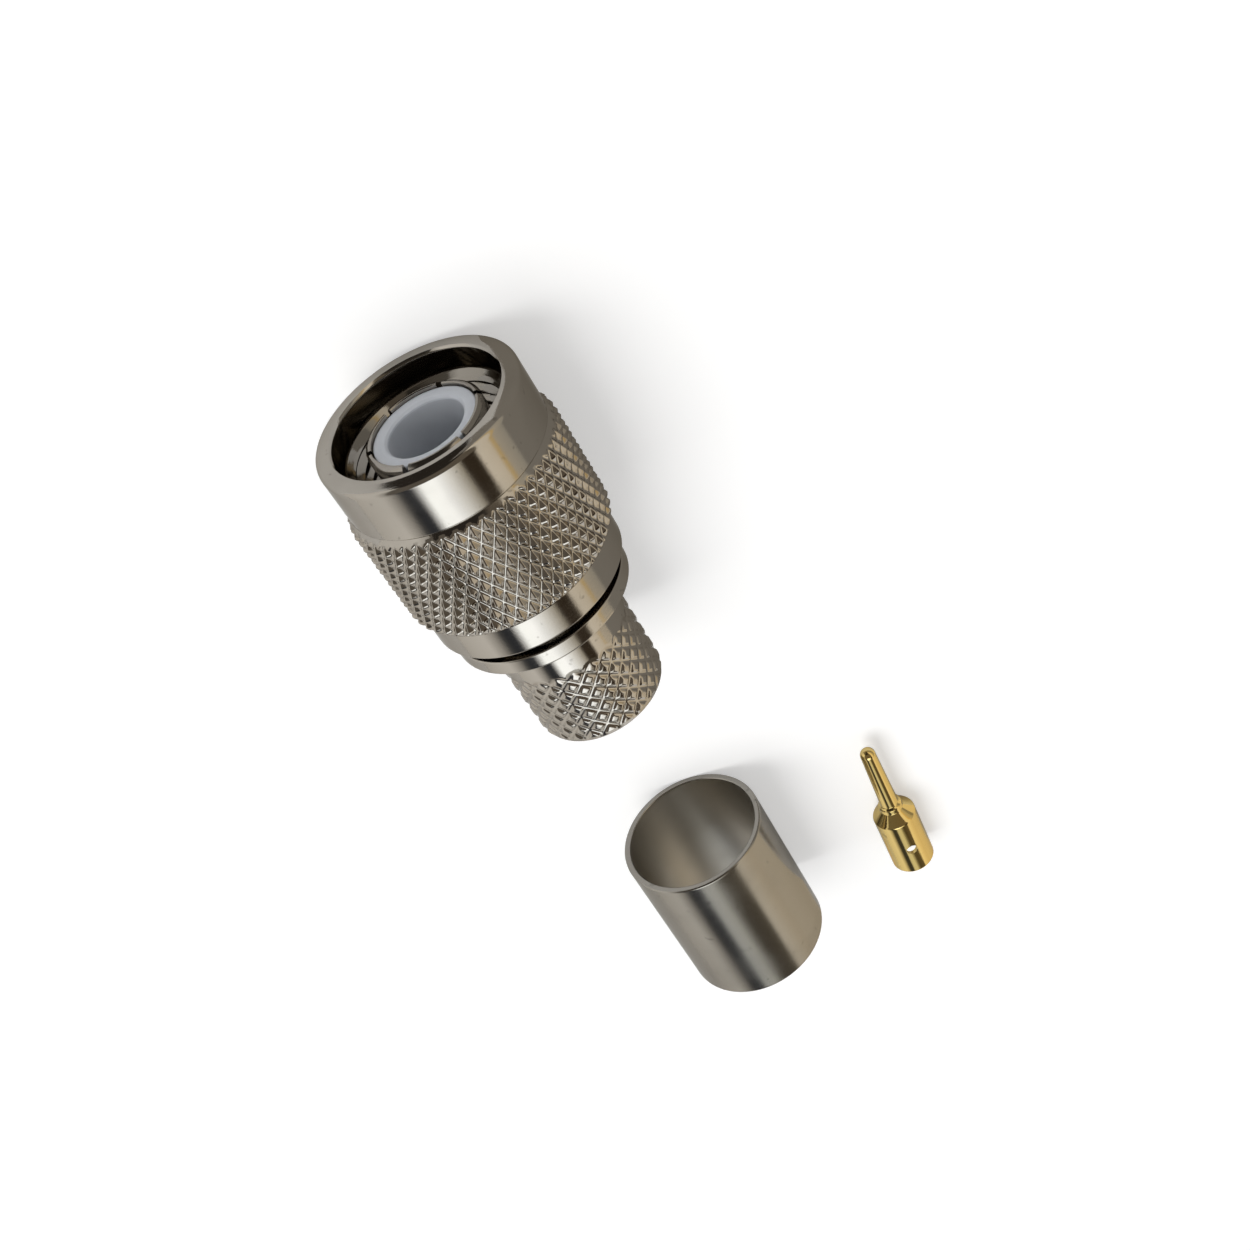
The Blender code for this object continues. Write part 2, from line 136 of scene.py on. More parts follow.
class NutSizes(bpy.types.PropertyGroup):
    """Sizes of the coupling nut, with heights from the cable end of the stem."""

    rear: length("Rear face", 11.55, "Height of the nut's rear face")
    knurl_start: length("Knurl start", 13.9, "Height at which the knurl starts")
    knurl_end: length("Knurl end", 22.82, "Height at which the knurl and its front cone end")
    front: length("Front face", 27.0, "Height of the nut's front face")
    rear_radius: length("Rear band radius", 7.0, "Radius of the plain band behind the knurl")
    knurl_radius: length("Knurl radius", 7.6, "Radius over the knurl's points")
    knurl_depth: length("Knurl depth", 0.33, "Depth of the knurl's grooves")
    front_radius: length("Front band radius", 7.15, "Radius of the plain front band")
    knurl_starts: count("Knurl starts", 50, "Grooves of each hand round the nut")
    knurl_steps: count("Knurl steps", 68, "Sixths of half diamonds along the knurl")
    knurl_land: share("Knurl land", 0.06, "Share of each diamond that is left flat on top")
    knurl_chamfer: length("Knurl chamfer", 0.6, "Height of the cone at each end of the knurl")
    knurl_fade: length("Knurl fade", 0.12, "Length over which the grooves run out in front")
    knurl_rise: length("Knurl rise", 0.2, "Height of the slope up to the knurl's start")
    neck: length("Neck", 0.1, "Height of the narrow neck ahead of the knurl")
    rim_slope: length("Rim slope", 0.11, "How far the rim falls back outside its flat")
    rim_flat: length("Rim flat", 0.32, "Width of the flat ring on the front face")
    mouth_radius: length("Mouth radius", 5.9, "Radius of the smooth mouth")
    mouth_chamfer: length("Mouth chamfer", 0.15, "Chamfer between the rim's flat and the mouth")
    mouth_depth: length("Mouth depth", 1.8, "Depth of the mouth down to its ledge")
    ledge_cone: length("Ledge cone", 0.45, "Height of the cone from the mouth to the thread")
    thread_minor: length("Thread inner radius", 5.1, "Radius at the thread's crests")
    thread_major: length("Thread outer radius", 5.56, "Radius at the thread's roots")
    thread_pitch: length("Thread pitch", 0.907, "Height of one turn of the thread")
    thread_relief: length("Thread relief", 0.4, "Plain height between thread and ring groove")
    lip: length("Lip thickness", 1.1, "Thickness of the lip behind the retaining ring")
    lip_play: length("Lip play", 0.05, "Play between the lip and the retaining ring")
    lip_radius: length("Lip radius", 5.1, "Inner radius of the lip")
    groove_radius: length("Ring groove radius", 5.6, "Radius of the retaining ring's groove")
    groove_width: length("Ring groove width", 0.8, "Width of the retaining ring's groove")


class BodySizes(bpy.types.PropertyGroup):
    """Sizes of the stem, flange and neck, with heights from the cable end of the stem."""

    stem_radius: length("Stem radius", 4.8, "Radius of the crimp stem")
    knurl_start: length("Knurl start", 0.5, "Height at which the stem's knurl starts")
    knurl_end: length("Knurl end", 6.7, "Height at which the stem's knurl ends")
    knurl_depth: length("Knurl depth", 0.12, "Depth of the stem's grooves")
    knurl_starts: count("Knurl starts", 23, "Grooves of each hand round the stem")
    knurl_steps: count("Knurl steps", 54, "Sixths of half diamonds along the stem's knurl")
    knurl_land: share("Knurl land", 0.46, "Share of each diamond that is left flat on top")
    knurl_fade: length("Knurl fade", 0.7, "Length over which the grooves run out in front")
    flange_start: length("Flange start", 9.45, "Height of the flange's rear face")
    flange_end: length("Flange end", 10.65, "Height of the flange's front face")
    flange_radius: length("Flange radius", 6.5, "Radius of the flange")
    neck_radius: length("Neck radius", 4.95, "Radius of the neck inside the nut")
    neck_end: length("Neck end", 17.0, "Height of the neck's front face")
    bore_radius: length("Cable bore radius", 3.7, "Radius of the bore for the cable")
    seat_radius: length("Contact seat radius", 4.15, "Radius of the seat for the outer contact")
    seat: length("Contact seat", 14.0, "Height of the floor of the contact's seat")
    throat_radius: length("Throat radius", 3.5, "Radius of the bore behind the contact's seat")
    stop_front: length("Stop front", 13.0, "Height of the front of the insulator's stop")
    stop_rear: length("Stop rear", 12.2, "Height of the rear of the insulator's stop")
    stop_radius: length("Stop radius", 3.0, "Inner radius of the insulator's stop")
    chamfer: length("Chamfer", 0.25, "Chamfer at the bore's mouth and at the neck's front")
    groove_floor: length("Ring groove floor", 4.35, "Floor radius of the ring groove")


class ContactSizes(bpy.types.PropertyGroup):
    """Sizes of the outer contact, the insulator and the gasket."""

    contact_radius: length("Contact radius", 4.1, "Outer radius of the slotted contact")
    bore_radius: length("Contact bore", 3.66, "Inner radius of the slotted contact")
    contact_seat: length("Contact rear", 14.05, "Height of the contact's rear end")
    contact_tip: length("Contact tip", 25.95, "Height of the contact's open end")
    tip_chamfer: length("Tip chamfer", 0.2, "Chamfer outside the contact's open end")
    slots: count("Slots", 6, "Slots round the contact")
    slot_width: length("Slot width", 0.42, "Width of one slot")
    slot_length: length("Slot length", 6.8, "Length of one slot")
    slot_phase: turn("Slot phase", 16, "Angle of the first slot")
    insulator_radius: length("Insulator radius", 3.63, "Outer radius of the insulator")
    insulator_rear: length("Insulator rear", 13.05, "Height of the insulator's rear face")
    insulator_front: length("Insulator front", 25.7, "Height of the insulator's front face")
    cavity_radius: length("Cavity radius", 2.66, "Radius of the insulator's open cavity")
    cavity_depth: length("Cavity depth", 6.2, "Depth of the insulator's open cavity")
    pin_hole: length("Pin hole radius", 1.78, "Radius of the hole that the pin is pushed into")
    gasket_rear: length("Gasket rear", 17.05, "Height of the gasket's rear face")
    gasket_front: length("Gasket front", 18.15, "Height of the gasket's front face")
    gasket_inner: length("Gasket inner radius", 4.15, "Inner radius of the gasket")
    gasket_outer: length("Gasket outer radius", 4.95, "Outer radius of the gasket")


class FerruleSizes(bpy.types.PropertyGroup):
    """Sizes and place of the crimp ferrule."""

    radius: length("Radius", 5.65, "Outer radius of the ferrule")
    wall: length("Wall", 0.49, "Thickness of the ferrule's wall")
    tube_length: length("Length", 13.85, "Length of the ferrule")
    aside: length("Aside", 1.4, "Distance of the ferrule beside the plug's axis")
    behind: length("Behind", 18.7, "Distance of the ferrule behind the cable end")
    heading: turn("Heading", 0.9, "Turn of the ferrule on the table")


class PinSizes(bpy.types.PropertyGroup):
    """Sizes and place of the contact pin."""

    tip_radius: length("Tip radius", 0.61, "Radius of the shank at its tip")
    root_radius: length("Root radius", 0.74, "Radius of the shank at its root")
    tip_rounding: length("Tip rounding", 0.6, "Rounding of the tip")
    shank: length("Shank length", 6.45, "Length of the shank")
    collar_radius: length("Collar radius", 0.95, "Radius of the collar behind the shank")
    collar: length("Collar length", 0.6, "Length of the collar")
    shoulder: length("Shoulder length", 0.75, "Length of the slope up to the barrel")
    barrel_radius: length("Barrel radius", 1.73, "Radius of the solder barrel")
    barrel: length("Barrel length", 5.65, "Length of the solder barrel")
    wall: length("Barrel wall", 0.33, "Wall of the solder barrel")
    bore: length("Bore depth", 4.6, "Depth of the wire's bore")
    bore_point: length("Bore point", 0.25, "Depth of the drill's point below the bore")
    hole_radius: length("Solder hole radius", 0.45, "Radius of the inspection hole")
    hole_place: length("Solder hole place", 2.6, "Distance of the hole from the open end")
    hole_lean: turn("Solder hole lean", 16, "Lean of the inspection hole from upright")
    aside: length("Aside", -12.2, "Distance of the pin beside the plug's axis")
    behind: length("Behind", 33.4, "Distance of the pin's open end behind the cable end")
    heading: turn("Heading", 3.4, "Turn of the pin on the table")


class FinishColours(bpy.types.PropertyGroup):
    """Colours of the plated metals and of the soft pieces."""

    nut_nickel: colour("Nut nickel", (0.47, 0.44, 0.395), "Colour of the nut's nickel plate")
    body_nickel: colour("Body nickel", (0.48, 0.45, 0.405), "Colour of the body's nickel plate")
    contact_nickel: colour("Contact nickel", (0.37, 0.345, 0.31), "Colour of the contact's plate")
    ferrule_nickel: colour("Ferrule nickel", (0.37, 0.35, 0.315), "Colour of the ferrule's plate")
    # Painted shade: the colour laid on the knurls' flanks, halfway down their grooves
    flank_shade_brown: colour("Flank brown", (0.33, 0.29, 0.245), "Colour on the knurls' flanks")
    gold: colour("Gold", (0.80, 0.605, 0.235), "Colour of the pin's gold plate")
    bronze: colour("Bronze", (0.42, 0.27, 0.13), "Colour of the retaining ring")
    insulator_white: colour("Insulator white", (0.70, 0.73, 0.78), "Colour of the insulator")
    gasket_black: colour("Gasket black", (0.025, 0.025, 0.027), "Colour of the gasket")


class StudioSettings(bpy.types.PropertyGroup):
    """The floor, the lamp, the reflected cards and the camera."""

    floor_colour: colour("Floor", (0.72, 0.72, 0.72), "Colour of the pale floor")
    floor_lift: share("Floor lift", 0.42, "Strength added where the floor is seen")
    mirrored_lift: share("Mirrored lift", 0.2, "Share of the lift where the floor is mirrored")
    sky: share("Sky", 0.42, "Strength of the soft light from all round")
    softbox_power: FloatProperty(
        name="Softbox power", description="Power of the overhead lamp", default=2.6, min=0
    )
    card_radius: FloatProperty(
        name="Card radius",
        description="Distance of the reflected cards from the plug",
        default=0.6,
        unit="LENGTH",
    )
    lens: FloatProperty(
        name="Lens",
        description="Focal length of the camera in millimetres",
        default=56.6,
        subtype="DISTANCE_CAMERA",
    )


# Mesh helpers


class Shell:
    """Points and faces of one turned piece, gathered ring by ring round its own axis."""

    def __init__(self):
        self.points = []
        self.faces = []
        self.soft_faces = 0

    def ring(self, radii, height, columns):
        """One ring: its radius is a number, or a list with one radius for each column."""
        first = len(self.points)
        for column in range(columns):
            angle = math.tau * column / columns
            radius = radii[column] if isinstance(radii, list) else radii
            self.points.append((radius * math.cos(angle), radius * math.sin(angle), height))
        return list(range(first, first + columns))

    def join(self, lower, upper):
        columns = len(lower)
        for column in range(columns):
            after = (column + 1) % columns
            self.faces.append((lower[column], lower[after], upper[after], upper[column]))

    def halve(self, many, few):
        """Joins a ring to one with half its columns."""
        for column, point in enumerate(few):
            after = few[(column + 1) % len(few)]
            first, middle = many[2 * column], many[2 * column + 1]
            last = many[(2 * column + 2) % len(many)]
            self.faces += [(first, middle, point), (middle, after, point), (middle, last, after)]

    def chain(self, start, profile, columns):
        """Joins a ring to each (radius, height) in turn and returns the last ring."""
        for radius, height in profile:
            ring = self.ring(radius, height, columns)
            self.join(start, ring)
            start = ring
        return start

    def loop(self, profile, columns):
        """A hollow turned form from a closed loop of (radius, height)."""
        profile = held(profile + profile[:1])[:-1]
        first = self.ring(*profile[0], columns)
        self.join(self.chain(first, profile[1:], columns), first)

    def cap(self, ring, height):
        middle = len(self.points)
        self.points.append((0.0, 0.0, height))
        for column, point in enumerate(ring):
            self.faces.append((point, ring[(column + 1) % len(ring)], middle))


def rounded(corners, steps=3):
    """Profile points from (radius, height, rounding in millimetres), with an arc at a rounding.

    A rounding takes less than half of each side that meets there.
    """
    most = 0.45
    points = []
    for index, (radius, height, rounding) in enumerate(corners):
        here = Vector((radius, height))
        size = rounding * MM
        if not size:
            points.append((radius, height))
            continue
        back = Vector(corners[index - 1][:2]) - here
        ahead = Vector(corners[(index + 1) % len(corners)][:2]) - here
        start = here + back.normalized() * min(size, most * back.length)
        end = here + ahead.normalized() * min(size, most * ahead.length)
        for step in range(steps + 1):
            along = step / steps
            point = start.lerp(here, along).lerp(here.lerp(end, along), along)
            points.append((point.x, point.y))
    return points


def held(profile):
    """Adds a point near each end of a long straight stretch, so that it is shaded evenly."""
    reach = 0.03 * MM
    long_stretch = 0.4 * MM
    points = [profile[0]]
    for first, last in zip(profile, profile[1:]):
        start, end = Vector(first), Vector(last)
        span = (end - start).length
        if span > long_stretch:
            points.append(tuple(start.lerp(end, reach / span)))
            points.append(tuple(end.lerp(start, reach / span)))
        points.append(last)
    return points


def add_knurl(shell, sizes, peak, chamfer):
    """A diamond knurl: two hands of V grooves, shaded soft, with a land left on each diamond.

    On the way from a groove's middle to a diamond's, the groove's floor comes first and the land
    last, and both are flat. The knurl is cut off in a cone at both ends, and its grooves run out
    over the length of the fade at the top.
    """
    fineness = KNURL_FINENESS
    columns = 2 * sizes.knurl_starts * fineness
    period = 2 * fineness
    flank = 1 - sizes.knurl_land - GROOVE_FLOOR
    bottom, top = sizes.knurl_start, sizes.knurl_end
    rings = []
    for step in range(sizes.knurl_steps + 1):
        height = bottom + (top - bottom) * step / sizes.knurl_steps
        edge = min(height - bottom, top - height)
        ceiling = peak - max(0.0, chamfer - edge)
        deep = sizes.knurl_depth * min(1.0, (top - height) / sizes.knurl_fade)
        radii = []
        for column in range(columns):
            nearest = min(
                abs((column + hand * step + fineness) % period - fineness) for hand in (1, -1)
            )
            cut = (1 - sizes.knurl_land - nearest / fineness) / flank
            radii.append(min(peak - deep * min(1.0, max(0.0, cut)), ceiling))
        rings.append(shell.ring(radii, height, columns))
    for step, (lower, upper) in enumerate(zip(rings, rings[1:])):
        for column in range(columns):
            after = (column + 1) % columns
            corners = (lower[column], lower[after], upper[after], upper[column])
            rising, falling = (
                abs((column + 0.5 + hand * (step + 0.5) + fineness) % period - fineness)
                for hand in (-1, 1)
            )
            shift = 0 if rising < falling else 1
            a, b, c, d = corners[shift:] + corners[:shift]
            shell.faces += [(a, b, c), (c, d, a)]
    shell.soft_faces = len(shell.faces)
    return rings[0], rings[-1]


def add_thread(shell, start, sizes, top, bottom, columns):
    """The nut's inner thread, cut from its lead-in down to a plain run-out."""
    flat = 0.12
    steps_per_turn = 8
    lead_in = 0.42 * MM
    run_out = 0.9 * MM
    depth = sizes.thread_major - sizes.thread_minor
    steps = round((top - bottom) / sizes.thread_pitch * steps_per_turn)
    for step in range(1, steps + 1):
        height = top - (top - bottom) * step / steps
        lead = sizes.thread_major - (top - height) / lead_in * depth
        fade = min(1.0, (height - bottom) / run_out)
        radii = []
        for column in range(columns):
            turned = (height / sizes.thread_pitch - column / columns) % 1.0
            wave = min(1.0, max(0.0, (abs(turned - 0.5) * 2 - flat) / (1 - 2 * flat)))
            radii.append(max(sizes.thread_minor + depth * wave * fade, lead))
        ring = shell.ring(radii, height, columns)
        shell.join(start, ring)
        start = ring
    return start


def add_object(name, data):
    obj = bpy.data.objects.new(name, data)
    bpy.context.scene.collection.objects.link(obj)
    return obj


def finish_mesh(name, shell, sharp):
    """The shell's mesh, smooth but for edges past the sharp angle in degrees, its knurl aside."""
    mesh = bpy.data.meshes.new(name)
    mesh.from_pydata(shell.points, [], shell.faces)
    bm = bmesh.new()
    bm.from_mesh(mesh)
    bmesh.ops.recalc_face_normals(bm, faces=bm.faces)
    for face in bm.faces:
        face.smooth = True
    for edge in bm.edges:
        soft = all(face.index < shell.soft_faces for face in edge.link_faces)
        edge.smooth = soft or edge.calc_face_angle(math.pi) < math.radians(sharp)
    bm.to_mesh(mesh)
    bm.free()
    return mesh


def place_piece(name, shell, axis, material, sharp):
    """Puts a piece on its axis, in place of its solid, with its material and its body."""
    body, node, slot = PIECES[name]
    mesh = finish_mesh(name, shell, sharp)
    mesh.materials.append(material)
    piece = add_object(name, mesh)
    piece.matrix_world = axis
    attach(piece, body)
    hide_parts(node)
    return piece


def plug_axis():
    return Matrix.Translation((PLUG_X, CABLE_END_Y, PLUG_Z)) @ LYING


def table_axis(aside, behind, radius, heading):
    place = Matrix.Translation((PLUG_X + aside, CABLE_END_Y + behind, radius))
    return place @ Matrix.Rotation(-heading, 4, "Z") @ LYING


# Shader helpers


class Nodes:
    """Adds nodes to one shader tree. An input gets a value, or a link from a socket."""

    def __init__(self, tree):
        self.tree = tree

    def fill(self, node, inputs):
        for key, value in inputs.items():
            socket = node.inputs[key]
            if isinstance(value, bpy.types.NodeSocket):
                self.tree.links.new(value, socket)
            else:
                socket.default_value = (*value, 1.0) if socket.type == "RGBA" else value

    def add(self, kind, inputs=(), **settings):
        """Adds a node of this kind and returns its outputs."""
        node = self.tree.nodes.new("ShaderNode" + kind)
        for key, value in settings.items():
            setattr(node, key, value)
        self.fill(node, dict(inputs))
        return node.outputs

    def math(self, operation, *values):
        return self.add("Math", enumerate(values), operation=operation)[0]

    def mix(self, mask, first, second):
        """The first colour where the mask is 0, and the second where it is 1."""
        return self.add("Mix", {"Factor": mask, 6: first, 7: second}, data_type="RGBA")[2]

    def place(self):
        """A point's place in its object's own frame, as a vector."""
        return self.add("TexCoord")["Object"]

    def about_axis(self):
        """A point's height along the piece's axis, and its distance from it."""
        x, y, height = self.add("SeparateXYZ", {0: self.place()})
        squares = self.math("ADD", self.math("MULTIPLY", x, x), self.math("MULTIPLY", y, y))
        return height, self.math("SQRT", squares)

    def noise(self, scale, detail):
        return self.add("TexNoise", {"Vector": self.place(), "Scale": scale, "Detail": detail})[0]

    def use(self, group_name, **values):
        """Places a shared group, built the first time, with its own values."""
        group = bpy.data.node_groups.get(group_name) or SHARED_GROUPS[group_name]()
        inputs = {key.replace("_", " "): value for key, value in values.items()}
        return self.add("Group", inputs, node_tree=group)

    def bore(self, radius):
        """A mask of the wall of a bore of this radius and of all inside it."""
        margin = 0.02 * MM
        return self.use("Bore Mask", Bore_radius=radius + margin)["Wall"]

    def bumps(self, *heights):
        """The Normal input after bumps in a row, each of a height socket and a distance."""
        normal = {}
        for height, distance in heights:
            inputs = {"Strength": 1.0, "Distance": distance, "Height": height, **normal}
            normal = {"Normal": self.add("Bump", inputs)[0]}
        return normal


def new_group(name, inputs, outputs):
    """The nodes of a new shader group, the sockets of its inputs, and its output node."""
    tree = bpy.data.node_groups.new(name, "ShaderNodeTree")
    for label, default in inputs.items():
        socket = tree.interface.new_socket(label, in_out="INPUT", socket_type="NodeSocketFloat")
        socket.default_value = default
    for label in outputs:
        tree.interface.new_socket(label, in_out="OUTPUT", socket_type="NodeSocketFloat")
    given = tree.nodes.new("NodeGroupInput").outputs
    return Nodes(tree), given, tree.nodes.new("NodeGroupOutput")


def build_lathe_marks():
    """Fine rings left by the turning tool: a height, and a share for roughness."""
    nodes, given, made = new_group("Lathe Marks", {"Lines per metre": 9000.0}, ["Height", "Share"])
    along, distance = nodes.about_axis()
    path = nodes.math("MULTIPLY", nodes.math("ADD", along, distance), given["Lines per metre"])
    inputs = {"W": path, "Scale": 1.0, "Detail": 4.0, "Roughness": 0.65}
    fine = nodes.add("TexNoise", inputs, noise_dimensions="1D")[0]
    nodes.fill(made, {"Height": fine, "Share": fine})
    return nodes.tree


def build_handling_marks():
    """Faint smudges and small dull spots from handling, as two masks."""
    scales = {"Smudge scale": 180.0, "Spot scale": 1400.0}
    nodes, given, made = new_group("Handling Marks", scales, ["Smudge", "Spots"])
    for scale, output, detail, low, high in (
        ("Smudge scale", "Smudge", 3.0, 0.42, 0.68),
        ("Spot scale", "Spots", 2.0, 0.66, 0.78),
    ):
        noise = nodes.noise(given[scale], detail)
        limits = {"Value": noise, "From Min": low, "From Max": high}
        mask = nodes.add("MapRange", limits, interpolation_type="SMOOTHSTEP")[0]
        nodes.fill(made, {output: mask})
    return nodes.tree


def build_plating_grain():
    """The fine orange-peel of a plated surface, as a height."""
    nodes, given, made = new_group("Plating Grain", {"Grain scale": 7000.0}, ["Height"])
    nodes.fill(made, {"Height": nodes.noise(given["Grain scale"], 3.0)})
    return nodes.tree


def build_knurl_depth():
    """How deep a point lies in a knurl: 0 on its points or off it, 1 on its groove floors."""
    sizes = {"Floor radius": 0.007, "Top radius": 0.0076, "Start": 0.0, "End": 0.01}
    nodes, given, made = new_group("Knurl Depth", sizes, ["Depth"])
    along, distance = nodes.about_axis()
    limits = {
        "Value": distance,
        "From Min": given["Floor radius"],
        "From Max": given["Top radius"],
        "To Min": 1.0,
        "To Max": 0.0,
    }
    past_start = nodes.math("GREATER_THAN", along, given["Start"])
    before_end = nodes.math("LESS_THAN", along, given["End"])
    within = nodes.math("MULTIPLY", past_start, before_end)
    depth = nodes.math("MULTIPLY", nodes.add("MapRange", limits)[0], within)
    nodes.fill(made, {"Depth": depth})
    return nodes.tree


def build_bore_mask():
    """1 nearer to the axis than the bore's radius, and 0 elsewhere."""
    nodes, given, made = new_group("Bore Mask", {"Bore radius": 0.006}, ["Wall"])
    _, distance = nodes.about_axis()
    nodes.fill(made, {"Wall": nodes.math("LESS_THAN", distance, given["Bore radius"])})
    return nodes.tree


SHARED_GROUPS = {
    "Lathe Marks": build_lathe_marks,
    "Handling Marks": build_handling_marks,
    "Plating Grain": build_plating_grain,
    "Knurl Depth": build_knurl_depth,
    "Bore Mask": build_bore_mask,
}


def shaded(rgb, factor):
    return tuple(part * factor for part in rgb)


def new_material(name):
    """A material, its nodes and its Principled shader."""
    material = bpy.data.materials.new(name)
    material.use_nodes = True
    return material, Nodes(material.node_tree), material.node_tree.nodes["Principled BSDF"]


def plated_metal(name, base, finish, knurl=None, bore=None):
    """Plated turned metal with tool marks, grain and smudges.

    A knurl, given as (sizes, top radius, flank shade colour), has painted shade: browner flanks
    halfway down its grooves. A bore, given as (radius, shade, dulling), has painted shade or
    painted light inside, darker or lighter by the shade, and is rougher there.
    """
    roughness, lathe, grain = finish
    smudge_shade, spot_shade = 0.93, 0.72
    smudge_dulling, lathe_dulling = 0.06, 0.10
    lathe_height, grain_height = 0.0016 * MM, 0.0012 * MM
    material, nodes, shader = new_material(name)
    marks = nodes.use("Handling Marks")
    lines = nodes.use("Lathe Marks", Lines_per_metre=lathe)
    peel = nodes.use("Plating Grain", Grain_scale=grain)
    skin = nodes.mix(marks["Smudge"], base, shaded(base, smudge_shade))
    skin = nodes.mix(marks["Spots"], skin, shaded(base, spot_shade))
    # Painted shade: browner flanks halfway down the knurl's grooves
    if knurl:
        sizes, top_radius, flank_shade_colour = knurl
        sunk = nodes.use(
            "Knurl Depth",
            Floor_radius=top_radius - sizes.knurl_depth,
            Top_radius=top_radius,
            Start=sizes.knurl_start,
            End=sizes.knurl_end,
        )
        skin = nodes.mix(nodes.math("PINGPONG", sunk["Depth"], 0.5), skin, flank_shade_colour)
    dull = nodes.math("MULTIPLY", marks["Smudge"], smudge_dulling)
    streaks = nodes.math("MULTIPLY", lines["Share"], lathe_dulling)
    smoothest = roughness - lathe_dulling / 2
    rough = nodes.math("ADD", nodes.math("ADD", dull, streaks), smoothest)
    # Painted shade or painted light inside a bore, darker or lighter by its shade
    if bore:
        radius, shade, dulling = bore
        wall = nodes.bore(radius)
        skin = nodes.mix(wall, skin, shaded(base, shade))
        rough = nodes.math("ADD", rough, nodes.math("MULTIPLY", wall, dulling))
    bumps = nodes.bumps((lines["Height"], lathe_height), (peel["Height"], grain_height))
    inputs = {"Base Color": skin, "Roughness": rough, "Metallic": 1.0}
    nodes.fill(shader, inputs | {"Specular Tint": METAL_EDGE_TINT} | bumps)
    return material


def insulator_material(base, cavity_radius):
    """Waxy turned white plastic, a little see-through, with faint tool rings, and painted shade
    inside its cavity.
    """
    smudge_shade, painted_cavity_shade = 0.95, 0.8
    lathe_dulling, smoothest, lathe_height = 0.2, 0.32, 0.003 * MM
    material, nodes, shader = new_material("insulator_white")
    marks = nodes.use("Handling Marks", Smudge_scale=420.0)
    lines = nodes.use("Lathe Marks", Lines_per_metre=7000.0)
    skin = nodes.mix(marks["Smudge"], base, shaded(base, smudge_shade))
    # Painted shade: darker inside the cavity
    skin = nodes.mix(nodes.bore(cavity_radius), skin, shaded(base, painted_cavity_shade))
    streaks = nodes.math("MULTIPLY", lines["Share"], lathe_dulling)
    rough = nodes.math("ADD", streaks, smoothest)
    inputs = {
        "Base Color": skin,
        "Roughness": rough,
        "Subsurface Weight": 0.25,
        "Subsurface Radius": (1.0, 1.0, 1.0),
        "Subsurface Scale": 0.6 * MM,
    }
    nodes.fill(shader, inputs | nodes.bumps((lines["Height"], lathe_height)))
    return material


def rubber_material(base):
    """Moulded rubber with a fine matt grain."""
    smudge_shade = 1.8
    grain_dulling, smoothest, grain_height = 0.2, 0.45, 0.006 * MM
    material, nodes, shader = new_material("gasket_rubber")
    marks = nodes.use("Handling Marks", Smudge_scale=600.0)
    peel = nodes.use("Plating Grain", Grain_scale=4000.0)
    skin = nodes.mix(marks["Smudge"], base, shaded(base, smudge_shade))
    grains = nodes.math("MULTIPLY", peel["Height"], grain_dulling)
    inputs = {"Base Color": skin, "Roughness": nodes.math("ADD", grains, smoothest)}
    nodes.fill(shader, inputs | nodes.bumps((peel["Height"], grain_height)))
    return material


# Operators


def ring_groove(nut):
    """Heights of the rear and of the front of the retaining ring's groove."""
    rear = nut.rear + nut.lip - nut.lip_play
    return rear, rear + nut.groove_width


